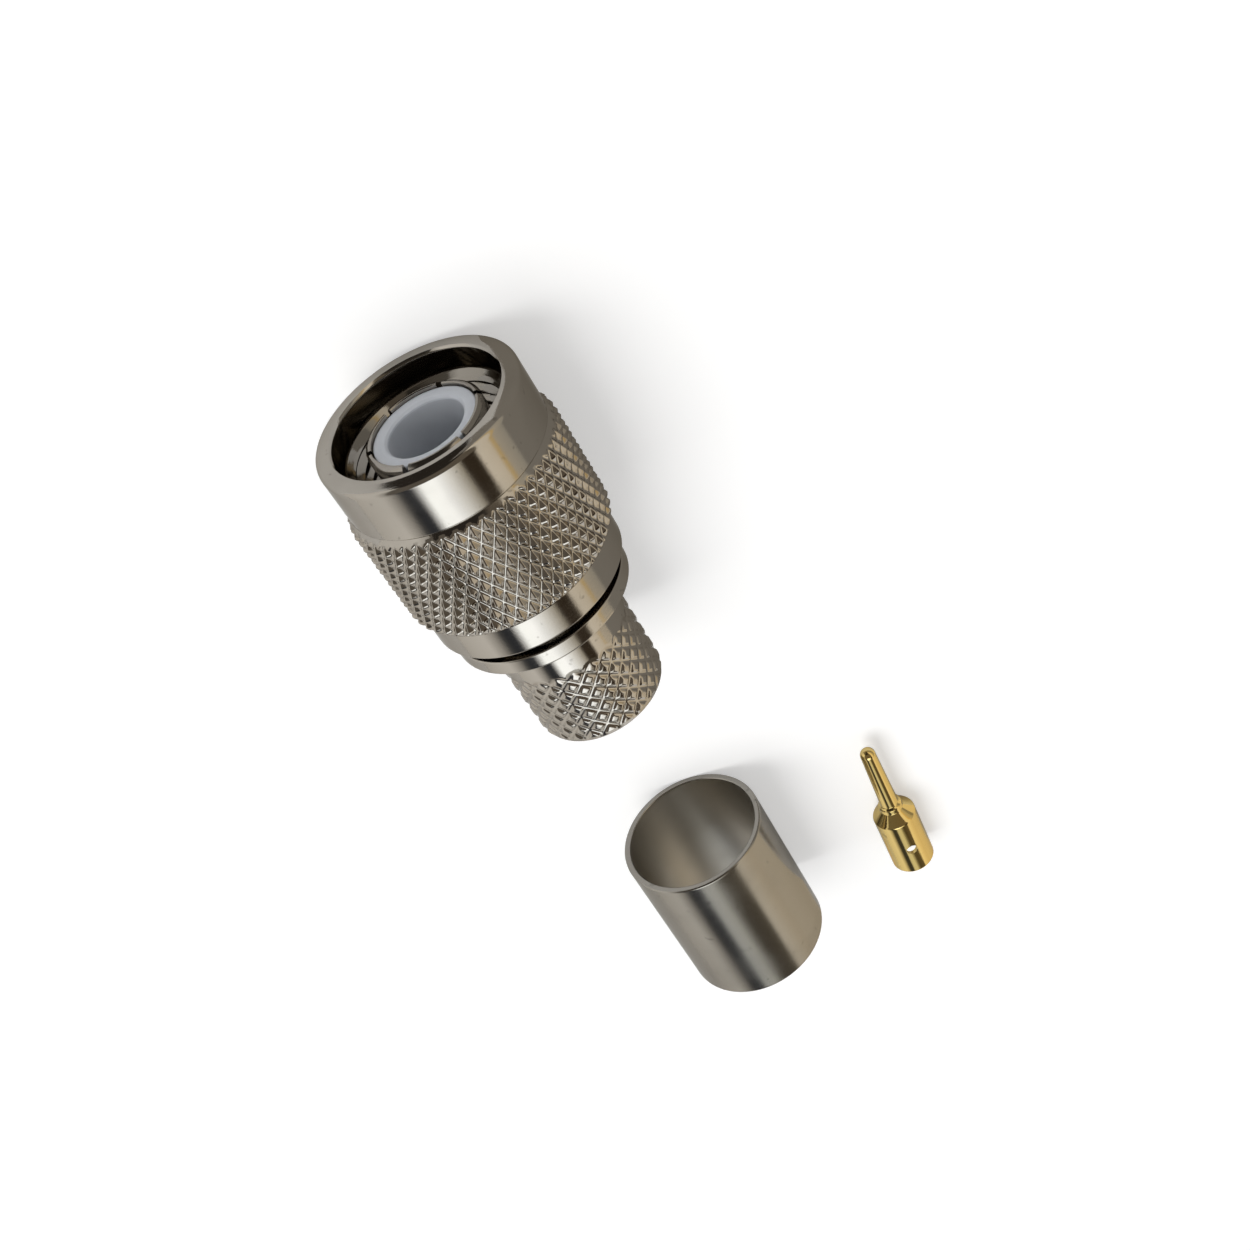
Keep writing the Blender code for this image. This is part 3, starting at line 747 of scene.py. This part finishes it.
class PLUG_OT_coupling_nut(bpy.types.Operator):
    """Build the knurled coupling nut with its thread."""

    bl_idname = "plug.coupling_nut"
    bl_label = "Coupling Nut"

    def front(self, sizes, flat_inside):
        """From the knurl over the plain front band and the rim to the rim's flat."""
        band_start = sizes.knurl_end + sizes.neck
        corners = [
            (sizes.knurl_radius - sizes.knurl_chamfer, band_start, 0),
            (sizes.front_radius, band_start, 0.06),
            (sizes.front_radius, sizes.front - sizes.rim_slope, 0.38),
            (flat_inside + sizes.rim_flat, sizes.front, 0.1),
            (flat_inside, sizes.front, 0),
        ]
        return held(rounded(corners, steps=5))

    def mouth(self, sizes, flat_inside, thread_top):
        """From the rim's flat down the smooth mouth to the top of the thread."""
        corners = [
            (flat_inside, sizes.front, 0),
            (sizes.mouth_radius, sizes.front - sizes.mouth_chamfer, 0.05),
            (sizes.mouth_radius, sizes.front - sizes.mouth_depth, 0.12),
            (sizes.thread_major, thread_top, 0),
        ]
        return held(rounded(corners)[1:])

    def groove_and_lip(self, sizes, lip_edge):
        """From the thread's run-out through the retaining ring's groove to the rear face."""
        groove_rear, groove_front = ring_groove(sizes)
        return [
            (sizes.thread_minor, groove_front),
            (sizes.groove_radius, groove_front),
            (sizes.groove_radius, groove_rear),
            (sizes.lip_radius, groove_rear),
            (sizes.lip_radius, sizes.rear + lip_edge),
            (sizes.lip_radius + lip_edge, sizes.rear),
        ]

    def rear(self, sizes, lip_edge):
        """From the lip over the rear face and the rear band to the slope below the knurl."""
        edge = 0.12 * MM
        corners = [
            (sizes.lip_radius + 2 * lip_edge, sizes.rear, 0),
            (sizes.rear_radius - edge, sizes.rear, 0.05),
            (sizes.rear_radius, sizes.rear + edge, 0.05),
            (sizes.rear_radius, sizes.knurl_start - sizes.knurl_rise, 0),
        ]
        return held(rounded(corners))

    def execute(self, context):
        sizes = context.scene.plug_nut
        colours = context.scene.plug_colours
        lip_edge = 0.1 * MM
        flat_inside = sizes.mouth_radius + sizes.mouth_chamfer
        thread_top = sizes.front - sizes.mouth_depth - sizes.ledge_cone
        thread_bottom = ring_groove(sizes)[1] + sizes.thread_relief
        shell = Shell()
        knurl_bottom, knurl_top = add_knurl(shell, sizes, sizes.knurl_radius, sizes.knurl_chamfer)
        columns = len(knurl_bottom)
        half = columns // 2
        outer = shell.chain(knurl_top, self.front(sizes, flat_inside), columns)
        mouth = self.mouth(sizes, flat_inside, thread_top)
        ring = shell.ring(*mouth[0], half)
        shell.halve(outer, ring)
        ring = shell.chain(ring, mouth[1:], half)
        ring = add_thread(shell, ring, sizes, thread_top, thread_bottom, half)
        ring = shell.chain(ring, self.groove_and_lip(sizes, lip_edge), half)
        rear = self.rear(sizes, lip_edge)
        outer = shell.ring(*rear[0], columns)
        shell.halve(outer, ring)
        shell.join(shell.chain(outer, rear[1:], columns), knurl_bottom)
        material = plated_metal(
            "nut_nickel",
            colours.nut_nickel,
            NUT_FINISH,
            knurl=(sizes, sizes.knurl_radius, colours.flank_shade_brown),
            # Painted shade: the mouth and all inside it are darker
            bore=(sizes.mouth_radius, 0.62, 0.0),
        )
        place_piece("knurled_coupling_nut", shell, plug_axis(), material, sharp=24)
        return {"FINISHED"}


class PLUG_OT_crimp_body(bpy.types.Operator):
    """Build the stem, flange and neck as one turned body."""

    bl_idname = "plug.crimp_body"
    bl_label = "Crimp Body"

    def execute(self, context):
        sizes = context.scene.plug_body
        colours = context.scene.plug_colours
        groove_rear, groove_front = ring_groove(context.scene.plug_nut)
        root = sizes.stem_radius - sizes.knurl_depth
        chamfer = sizes.chamfer
        knurl_gap = 0.1 * MM
        rear_step = 0.02 * MM
        corners = [
            (sizes.stem_radius, sizes.knurl_end + knurl_gap, 0),
            (sizes.stem_radius, sizes.flange_start, 0.08),
            (sizes.flange_radius, sizes.flange_start, 0.14),
            (sizes.flange_radius, sizes.flange_end, 0.1),
            (sizes.neck_radius, sizes.flange_end, 0),
            (sizes.neck_radius, groove_rear, 0.03),
            (sizes.groove_floor, groove_rear, 0),
            (sizes.groove_floor, groove_front, 0),
            (sizes.neck_radius, groove_front, 0.03),
            (sizes.neck_radius, sizes.neck_end - chamfer, 0.05),
            (sizes.neck_radius - chamfer, sizes.neck_end, 0.05),
            (sizes.seat_radius, sizes.neck_end, 0),
            (sizes.seat_radius, sizes.seat, 0),
            (sizes.throat_radius, sizes.seat, 0),
            (sizes.throat_radius, sizes.stop_front, 0),
            (sizes.stop_radius, sizes.stop_front, 0.05),
            (sizes.stop_radius, sizes.stop_rear, 0.05),
            (sizes.bore_radius, sizes.stop_rear, 0),
            (sizes.bore_radius, chamfer, 0.08),
            (sizes.bore_radius + chamfer, 0.0, 0.05),
            (root - rear_step, 0.0, 0.42),
            (root, sizes.knurl_start, 0),
        ]
        profile = held(rounded(corners, steps=5)[:-1])
        shell = Shell()
        knurl_bottom, knurl_top = add_knurl(shell, sizes, sizes.stem_radius, 0.0)
        shell.join(shell.chain(knurl_top, profile, len(knurl_top)), knurl_bottom)
        material = plated_metal(
            "body_nickel",
            colours.body_nickel,
            BODY_FINISH,
            knurl=(sizes, sizes.stem_radius, colours.flank_shade_brown),
        )
        place_piece("knurled_crimp_body", shell, plug_axis(), material, sharp=24)
        return {"FINISHED"}


def slotted_sleeve(sizes):
    """The outer contact: a whole ring behind, and fingers between parallel slots in front."""
    shell = Shell()
    slot_floor = sizes.contact_tip - sizes.slot_length
    tip_radius = sizes.contact_radius - sizes.tip_chamfer
    tip_start = sizes.contact_tip - sizes.tip_chamfer
    edge = 0.05 * MM
    profile = [
        (sizes.contact_radius, sizes.contact_seat),
        (sizes.contact_radius, slot_floor),
        (sizes.contact_radius, tip_start - edge),
        (sizes.contact_radius - 0.3 * edge, tip_start),
        (tip_radius, sizes.contact_tip - 0.4 * edge),
        (tip_radius - edge, sizes.contact_tip),
        (sizes.bore_radius + edge, sizes.contact_tip),
        (sizes.bore_radius, sizes.contact_tip - edge),
        (sizes.bore_radius, slot_floor),
        (sizes.bore_radius, sizes.contact_seat),
    ]
    cells = 14
    rows = []
    for radius, height in profile:
        half_slot = math.asin(sizes.slot_width / 2 / radius)
        span = math.tau / sizes.slots - 2 * half_slot
        row = []
        for slot in range(sizes.slots):
            start = sizes.slot_phase + math.tau * slot / sizes.slots + half_slot
            for cell in range(cells + 1):
                angle = start + span * cell / cells
                row.append(len(shell.points))
                shell.points.append((radius * math.cos(angle), radius * math.sin(angle), height))
        rows.append(row)
    across = len(rows[0])
    last = len(profile) - 1
    low, high = 1, last - 1
    for index, row in enumerate(rows):
        following = rows[(index + 1) % len(rows)]
        behind_slots = index in (0, high, last)
        for place in range(across):
            after = (place + 1) % across
            in_slot = after % (cells + 1) == 0
            if behind_slots or not in_slot:
                shell.faces.append((row[place], row[after], following[after], following[place]))
    for slot in range(sizes.slots):
        first = slot * (cells + 1)
        final = first + cells
        opposite = (final + 1) % across
        shell.faces.append(
            (rows[low][final], rows[low][opposite], rows[high][opposite], rows[high][final])
        )
        for side in (first, final):
            shell.faces.append(tuple(rows[index][side] for index in range(low, high + 1)))
    return shell


class PLUG_OT_inner_parts(bpy.types.Operator):
    """Build the outer contact, the insulator and the gasket, and finish the retaining ring."""

    bl_idname = "plug.inner_parts"
    bl_label = "Inner Parts"

    def insulator(self, sizes):
        floor = sizes.insulator_front - sizes.cavity_depth
        corners = [
            (sizes.pin_hole, sizes.insulator_rear, 0.05),
            (sizes.insulator_radius, sizes.insulator_rear, 0.12),
            (sizes.insulator_radius, sizes.insulator_front, 0.1),
            (sizes.cavity_radius, sizes.insulator_front, 0.4),
            (sizes.cavity_radius, floor, 0.2),
            (sizes.pin_hole, floor, 0.08),
        ]
        shell = Shell()
        shell.loop(rounded(corners), columns=128)
        return shell

    def gasket(self, sizes):
        corners = [
            (sizes.gasket_inner, sizes.gasket_rear, 0.1),
            (sizes.gasket_outer, sizes.gasket_rear, 0.3),
            (sizes.gasket_outer, sizes.gasket_front, 0.3),
            (sizes.gasket_inner, sizes.gasket_front, 0.1),
        ]
        shell = Shell()
        shell.loop(rounded(corners), columns=96)
        return shell

    def execute(self, context):
        sizes = context.scene.plug_contact
        colours = context.scene.plug_colours
        axis = plug_axis()
        nickel = plated_metal("contact_nickel", colours.contact_nickel, CONTACT_FINISH)
        place_piece("slotted_outer_contact", slotted_sleeve(sizes), axis, nickel, sharp=24)
        plastic = insulator_material(colours.insulator_white, sizes.cavity_radius)
        place_piece("white_insulator", self.insulator(sizes), axis, plastic, sharp=30)
        rubber = rubber_material(colours.gasket_black)
        place_piece("round_gasket", self.gasket(sizes), axis, rubber, sharp=30)
        ring = frame["nodes"]["retaining_ring"]
        ring.data.materials.clear()
        ring.data.materials.append(plated_metal("ring_bronze", colours.bronze, RING_FINISH))
        return {"FINISHED"}


class PLUG_OT_crimp_ferrule(bpy.types.Operator):
    """Build the crimp ferrule."""

    bl_idname = "plug.crimp_ferrule"
    bl_label = "Crimp Ferrule"

    def execute(self, context):
        sizes = context.scene.plug_ferrule
        inner = sizes.radius - sizes.wall
        corners = [
            (inner, 0.0, 0.14),
            (sizes.radius, 0.0, 0.14),
            (sizes.radius, sizes.tube_length, 0.14),
            (inner, sizes.tube_length, 0.14),
        ]
        shell = Shell()
        shell.loop(rounded(corners, steps=4), columns=192)
        material = plated_metal(
            "ferrule_nickel",
            context.scene.plug_colours.ferrule_nickel,
            FERRULE_FINISH,
            # Painted light: the ferrule's bore is lighter inside, and rougher
            bore=(inner, 1.12, 0.24),
        )
        behind = sizes.behind + sizes.tube_length
        axis = table_axis(sizes.aside, behind, sizes.radius, sizes.heading)
        place_piece("drawn_crimp_ferrule", shell, axis, material, sharp=30)
        return {"FINISHED"}


class PLUG_OT_contact_pin(bpy.types.Operator):
    """Build the gold contact pin with its inspection hole."""

    bl_idname = "plug.contact_pin"
    bl_label = "Contact Pin"

    def turned(self, sizes, tip):
        """From the bottom of the wire's bore round the open end and on to the tip."""
        slope_end = sizes.barrel + sizes.shoulder
        collar_end = slope_end + sizes.collar
        corners = [
            (sizes.barrel_radius - sizes.wall, sizes.bore, 0),
            (sizes.barrel_radius - sizes.wall, 0.0, 0.1),
            (sizes.barrel_radius, 0.0, 0.1),
            (sizes.barrel_radius, sizes.barrel, 0.12),
            (sizes.collar_radius, slope_end, 0.06),
            (sizes.collar_radius, collar_end - 0.12 * MM, 0.08),
            (sizes.root_radius, collar_end, 0.05),
            (sizes.tip_radius, tip - sizes.tip_rounding, 0),
        ]
        profile = held(rounded(corners, steps=4))
        steps = 8
        for step in range(1, steps):
            angle = math.pi / 2 * step / steps
            radius = sizes.tip_radius - sizes.tip_rounding * (1 - math.cos(angle))
            profile.append((radius, tip - sizes.tip_rounding * (1 - math.sin(angle))))
        return profile

    def drill_hole(self, pin, sizes):
        """Cuts the inspection hole through one wall of the barrel."""
        lying = Matrix.Rotation(math.pi / 2 + sizes.hole_lean, 4, "Z")
        lying = lying @ Matrix.Rotation(math.pi / 2, 4, "Y")
        outward = lying @ Matrix.Translation((0, 0, sizes.barrel_radius))
        cutter_mesh = bpy.data.meshes.new("inspection_hole")
        hole = bmesh.new()
        bmesh.ops.create_cone(
            hole,
            cap_ends=True,
            segments=32,
            radius1=sizes.hole_radius,
            radius2=sizes.hole_radius,
            depth=3 * sizes.wall,
            matrix=Matrix.Translation((0, 0, sizes.hole_place)) @ outward,
        )
        hole.to_mesh(cutter_mesh)
        hole.free()
        cutter = add_object("inspection_hole", cutter_mesh)
        cutter.matrix_world = pin.matrix_world
        cut = pin.modifiers.new("Hole", "BOOLEAN")
        cut.operation = "DIFFERENCE"
        cut.solver = "EXACT"
        cut.object = cutter
        bpy.context.view_layer.update()
        graph = bpy.context.evaluated_depsgraph_get()
        drilled = bpy.data.meshes.new_from_object(pin.evaluated_get(graph))
        pin.modifiers.clear()
        pin.data = drilled
        pin.data.set_sharp_from_angle(angle=math.radians(30))
        bpy.data.objects.remove(cutter)

    def execute(self, context):
        sizes = context.scene.plug_pin
        columns = 72
        tip = sizes.barrel + sizes.shoulder + sizes.collar + sizes.shank
        profile = self.turned(sizes, tip)
        shell = Shell()
        first = shell.ring(*profile[0], columns)
        shell.cap(first, sizes.bore + sizes.bore_point)
        last = shell.chain(first, profile[1:], columns)
        shell.cap(last, tip)
        material = plated_metal("gold_plate", context.scene.plug_colours.gold, PIN_FINISH)
        axis = table_axis(sizes.aside, sizes.behind, sizes.barrel_radius, sizes.heading)
        pin = place_piece("gold_contact_pin", shell, axis, material, sharp=30)
        pin.visible_glossy = False
        self.drill_hole(pin, sizes)
        return {"FINISHED"}


# Studio

# What the cards show, as colours by the angle about the plug's axis: 0 is +X and 90 is overhead
ROOM_STOPS = [
    (0, (0.82, 0.80, 0.76)),
    (34, (0.92, 0.90, 0.86)),
    (46, (0.52, 0.50, 0.47)),
    (54, (0.10, 0.10, 0.10)),
    (59, (0.045, 0.048, 0.055)),
    (72, (0.055, 0.06, 0.07)),
    (78, (0.72, 0.74, 0.73)),
    (94, (0.72, 0.73, 0.69)),
    (105, (0.22, 0.21, 0.18)),
    (113, (0.09, 0.075, 0.055)),
    (137, (0.14, 0.12, 0.09)),
    (142, (1.00, 0.92, 0.78)),
    (156, (0.92, 0.82, 0.66)),
    (166, (0.86, 0.75, 0.58)),
    (180, (0.80, 0.69, 0.53)),
]
SIDE_STOPS = [
    (157, (0.84, 0.74, 0.57)),
    (161, (0.78, 0.56, 0.24)),
    (165, (0.60, 0.54, 0.44)),
    (180, (0.46, 0.43, 0.37)),
]
SOFTBOX_STOPS = [
    (67, (0.05, 0.05, 0.05)),
    (71, (0.36, 0.37, 0.38)),
    (77, (0.92, 0.97, 1.0)),
    (90, (0.92, 0.96, 1.0)),
    (97, (0.76, 0.79, 0.82)),
    (105, (0.62, 0.63, 0.62)),
    (113, (0.42, 0.41, 0.38)),
    (119, (0.27, 0.25, 0.21)),
    (124, (0.025, 0.018, 0.012)),
    (138, (0.022, 0.016, 0.010)),
    (142, (0.40, 0.36, 0.30)),
]
SHADE_STOPS = [(40, (0.17, 0.155, 0.135)), (142, (0.17, 0.140, 0.105))]

# Bent cards: name, colours, strength, share of the card radius, angles, and ends along Y in metres
BENT_CARDS = (
    ("room_cards", ROOM_STOPS, 1.0, 1.0, (0, 180), (-1.6, 1.6)),
    ("softbox_card", SOFTBOX_STOPS, 2.2, 0.95, (67, 142), (0.15, 0.50)),
    ("side_card", SIDE_STOPS, 1.0, 0.96, (157, 180), (-1.6, 0.45)),
    ("shade_card", SHADE_STOPS, 1.0, 0.97, (46, 140), (-1.6, 0.152)),
)

# Low cards, just above the floor that the metal mirrors, as painted reflections of the floor, the
# one beside the plug a painted shadow: name, colour, and outline in metres
FRONT_DARK = (0.035, 0.030, 0.025)
LOW_CARDS = (
    ("low_front_card", FRONT_DARK, [(0.0, -0.56), (0.27, -0.56), (0.013, -0.043), (0.003, -0.043)]),
    (
        # Painted shadow of the plug on the floor, as the metal mirrors it
        "low_shadow_card",
        (0.30, 0.28, 0.25),
        [
            (-0.6, -0.56),
            (-0.0003, -0.56),
            (0.0028, -0.0428),
            (-0.0005, -0.0428),
            (-0.0005, 0.012),
            (-0.012, 0.014),
            (-0.6, 0.57),
        ],
    ),
    (
        "low_warm_card",
        (0.84, 0.74, 0.58),
        [
            (-0.012, 0.0142),
            (-0.012, 0.0305),
            (-0.002, 0.0305),
            (-0.002, 0.8),
            (-0.6, 0.8),
            (-0.6, 0.5702),
        ],
    ),
)
LOW_CARD_HEIGHT = 0.4 * MM

# The upright dark card ahead of the plug, in metres
FRONT_CARD_SIDES = (-0.17, 0.34)
FRONT_CARD_Y = -0.56
FRONT_CARD_TOP = 0.6

# The camera that was fitted to the round edges of the pieces in the photo
CAMERA_PLACE = (-0.03788, -0.09179, 0.10467)
CAMERA_FORWARD = (0.2782, 0.6266, -0.7279)
CAMERA_UP = (-0.3142, -0.6568, -0.6854)

LAMP_PLACE = (0.25, -0.05, 0.6)
LAMP_SIDE = 0.5
LAMP_COLOUR = (1.0, 0.99, 0.97)


def emptied(owner):
    """The nodes of a material or a world, with its tree emptied."""
    owner.use_nodes = True
    owner.node_tree.nodes.clear()
    return Nodes(owner.node_tree)


def stripes(nodes, stops):
    """Colours by (angle, colour) stops about the plug's axis, from 0 to 180 degrees."""
    x, _, z = nodes.add("SeparateXYZ", {0: nodes.place()})
    turned = nodes.math("DIVIDE", nodes.math("ARCTAN2", z, x), math.pi)
    ramp = nodes.add("ValToRGB", {"Fac": turned})["Color"]
    elements = ramp.node.color_ramp.elements
    for _ in stops[2:]:
        elements.new(1.0)
    for element, (degrees, rgb) in zip(elements, stops):
        element.position = degrees / 180
        element.color = (*rgb, 1.0)
    return ramp


def card_material(name, paint, strength=1.0):
    """A glow in one colour, or in stripes where the paint is a list of stops."""
    material = bpy.data.materials.new(name)
    nodes = emptied(material)
    shown = stripes(nodes, paint) if isinstance(paint, list) else paint
    glow = nodes.add("Emission", {"Color": shown, "Strength": strength})[0]
    nodes.add("OutputMaterial", {"Surface": glow})
    return material


def add_card(name, points, faces, material):
    """A glowing card that is seen only in reflections, as a painted reflection that lights nothing.
    """
    mesh = bpy.data.meshes.new(name)
    mesh.from_pydata(points, [], faces)
    mesh.shade_smooth()
    mesh.materials.append(material)
    card = add_object(name, mesh)
    card.visible_camera = False
    card.visible_diffuse = False
    card.visible_shadow = False
    card.visible_transmission = False
    card.visible_volume_scatter = False


def add_bent_card(name, radius, angles, ends, material):
    """A long card bent round the plug's axis."""
    steps = 48
    points = []
    for step in range(steps + 1):
        angle = math.radians(angles[0] + (angles[1] - angles[0]) * step / steps)
        points += [(radius * math.cos(angle), y, radius * math.sin(angle)) for y in ends]
    faces = [(first, first + 1, first + 3, first + 2) for first in range(0, 2 * steps, 2)]
    add_card(name, points, faces, material)


class PLUG_OT_studio(bpy.types.Operator):
    """Build the floor, the lamp, the reflected cards and the camera."""

    bl_idname = "plug.studio"
    bl_label = "Studio"

    def floor(self, settings):
        half = 3.0
        mesh = bpy.data.meshes.new("floor")
        corners = [(-half, -half, 0), (half, -half, 0), (half, half, 0), (-half, half, 0)]
        mesh.from_pydata(corners, [], [(0, 1, 2, 3)])
        floor = add_object("floor", mesh)
        floor.location.z = -0.02 * MM
        material = bpy.data.materials.new("pale_floor")
        nodes = emptied(material)
        rays = nodes.add("LightPath")
        mirrored = nodes.math("MULTIPLY", rays["Is Glossy Ray"], settings.mirrored_lift)
        seen = nodes.math("MAXIMUM", rays["Is Camera Ray"], mirrored)
        seen = nodes.math("MAXIMUM", seen, rays["Is Transmission Ray"])
        strength = nodes.math("MULTIPLY", seen, settings.floor_lift)
        paint = nodes.add("BsdfDiffuse", {"Color": settings.floor_colour})[0]
        lift = nodes.add("Emission", {"Strength": strength})[0]
        both = nodes.add("AddShader", {0: paint, 1: lift})[0]
        nodes.add("OutputMaterial", {"Surface": both})
        mesh.materials.append(material)

    def sky(self, settings):
        """A white world at full strength to sight and reflections, and softer as a light."""
        world = bpy.data.worlds.new("soft_sky")
        bpy.context.scene.world = world
        nodes = emptied(world)
        rays = nodes.add("LightPath")
        seen = nodes.math("MAXIMUM", rays["Is Camera Ray"], rays["Is Glossy Ray"])
        seen = nodes.math("MAXIMUM", seen, rays["Is Transmission Ray"])
        added = nodes.math("MULTIPLY", seen, 1 - settings.sky)
        strength = nodes.math("ADD", added, settings.sky)
        white = {"Color": (1.0, 1.0, 1.0), "Strength": strength}
        nodes.add("OutputWorld", {"Surface": nodes.add("Background", white)[0]})

    def cards(self, settings):
        for name, stops, strength, reach, angles, ends in BENT_CARDS:
            material = card_material(name, stops, strength)
            add_bent_card(name, reach * settings.card_radius, angles, ends, material)
        left, right = FRONT_CARD_SIDES
        corners = [
            (left, FRONT_CARD_Y, 0.0),
            (right, FRONT_CARD_Y, 0.0),
            (right, FRONT_CARD_Y, FRONT_CARD_TOP),
            (left, FRONT_CARD_Y, FRONT_CARD_TOP),
        ]
        dark = card_material("front_card", FRONT_DARK)
        add_card("front_card", corners, [(0, 1, 2, 3)], dark)
        for name, rgb, outline in LOW_CARDS:
            corners = [(x, y, LOW_CARD_HEIGHT) for x, y in outline]
            faces = [tuple(range(len(corners)))]
            add_card(name, corners, faces, card_material(name, rgb))

    def lamp(self, settings):
        data = bpy.data.lights.new("overhead_softbox", "AREA")
        data.shape = "RECTANGLE"
        data.size = LAMP_SIDE
        data.size_y = LAMP_SIDE
        data.energy = settings.softbox_power
        data.color = LAMP_COLOUR
        lamp = add_object("overhead_softbox", data)
        lamp.location = LAMP_PLACE
        lamp.rotation_mode = "QUATERNION"
        lamp.rotation_quaternion = Vector(LAMP_PLACE).to_track_quat("Z", "Y")
        lamp.visible_glossy = False

    def camera(self, settings):
        data = bpy.data.cameras.new("camera")
        data.sensor_width = 36.0
        data.lens = settings.lens
        data.clip_start = 0.001
        data.clip_end = 10.0
        camera = add_object("camera", data)
        forward = Vector(CAMERA_FORWARD).normalized()
        right = forward.cross(Vector(CAMERA_UP)).normalized()
        aim = Matrix((right, right.cross(forward), -forward)).transposed().to_4x4()
        camera.matrix_world = Matrix.Translation(CAMERA_PLACE) @ aim
        bpy.context.scene.camera = camera

    def execute(self, context):
        settings = context.scene.plug_studio
        self.floor(settings)
        self.sky(settings)
        self.cards(settings)
        self.lamp(settings)
        self.camera(settings)
        context.scene.view_settings.view_transform = "Standard"
        return {"FINISHED"}


class PLUG_PT_pieces(bpy.types.Panel):
    """Lists the sizes and the operators that build the plug."""

    bl_label = "Crimp Plug"
    bl_idname = "PLUG_PT_pieces"
    bl_space_type = "VIEW_3D"
    bl_region_type = "UI"
    bl_category = "Plug"

    def draw(self, context):
        for label, group, operator in PANEL_ROWS:
            box = self.layout.box()
            box.label(text=label)
            settings = getattr(context.scene, group)
            for key in settings.__annotations__:
                box.prop(settings, key)
            if operator:
                box.operator(operator)


PANEL_ROWS = (
    ("Coupling nut", "plug_nut", "plug.coupling_nut"),
    ("Crimp body", "plug_body", "plug.crimp_body"),
    ("Inner parts", "plug_contact", "plug.inner_parts"),
    ("Crimp ferrule", "plug_ferrule", "plug.crimp_ferrule"),
    ("Contact pin", "plug_pin", "plug.contact_pin"),
    ("Colours", "plug_colours", None),
    ("Studio", "plug_studio", "plug.studio"),
)

PROPERTY_GROUPS = {
    "plug_nut": NutSizes,
    "plug_body": BodySizes,
    "plug_contact": ContactSizes,
    "plug_ferrule": FerruleSizes,
    "plug_pin": PinSizes,
    "plug_colours": FinishColours,
    "plug_studio": StudioSettings,
}

CLASSES = (
    *PROPERTY_GROUPS.values(),
    PLUG_OT_coupling_nut,
    PLUG_OT_crimp_body,
    PLUG_OT_inner_parts,
    PLUG_OT_crimp_ferrule,
    PLUG_OT_contact_pin,
    PLUG_OT_studio,
    PLUG_PT_pieces,
)


def register():
    for cls in CLASSES:
        bpy.utils.register_class(cls)
    for name, group in PROPERTY_GROUPS.items():
        setattr(bpy.types.Scene, name, PointerProperty(type=group))


def unregister():
    for name in PROPERTY_GROUPS:
        delattr(bpy.types.Scene, name)
    for cls in reversed(CLASSES):
        bpy.utils.unregister_class(cls)


def clear_start_scene():
    kept = {obj.name for obj in frame["nodes"].values()}
    kept |= {obj.name for obj in frame["bodies"].values()}
    for obj in list(bpy.data.objects):
        if obj.name not in kept:
            bpy.data.objects.remove(obj)


def main():
    register()
    clear_start_scene()
    bpy.ops.plug.coupling_nut()
    bpy.ops.plug.crimp_body()
    bpy.ops.plug.inner_parts()
    bpy.ops.plug.crimp_ferrule()
    bpy.ops.plug.contact_pin()
    bpy.ops.plug.studio()


if __name__ == "__main__":
    main()
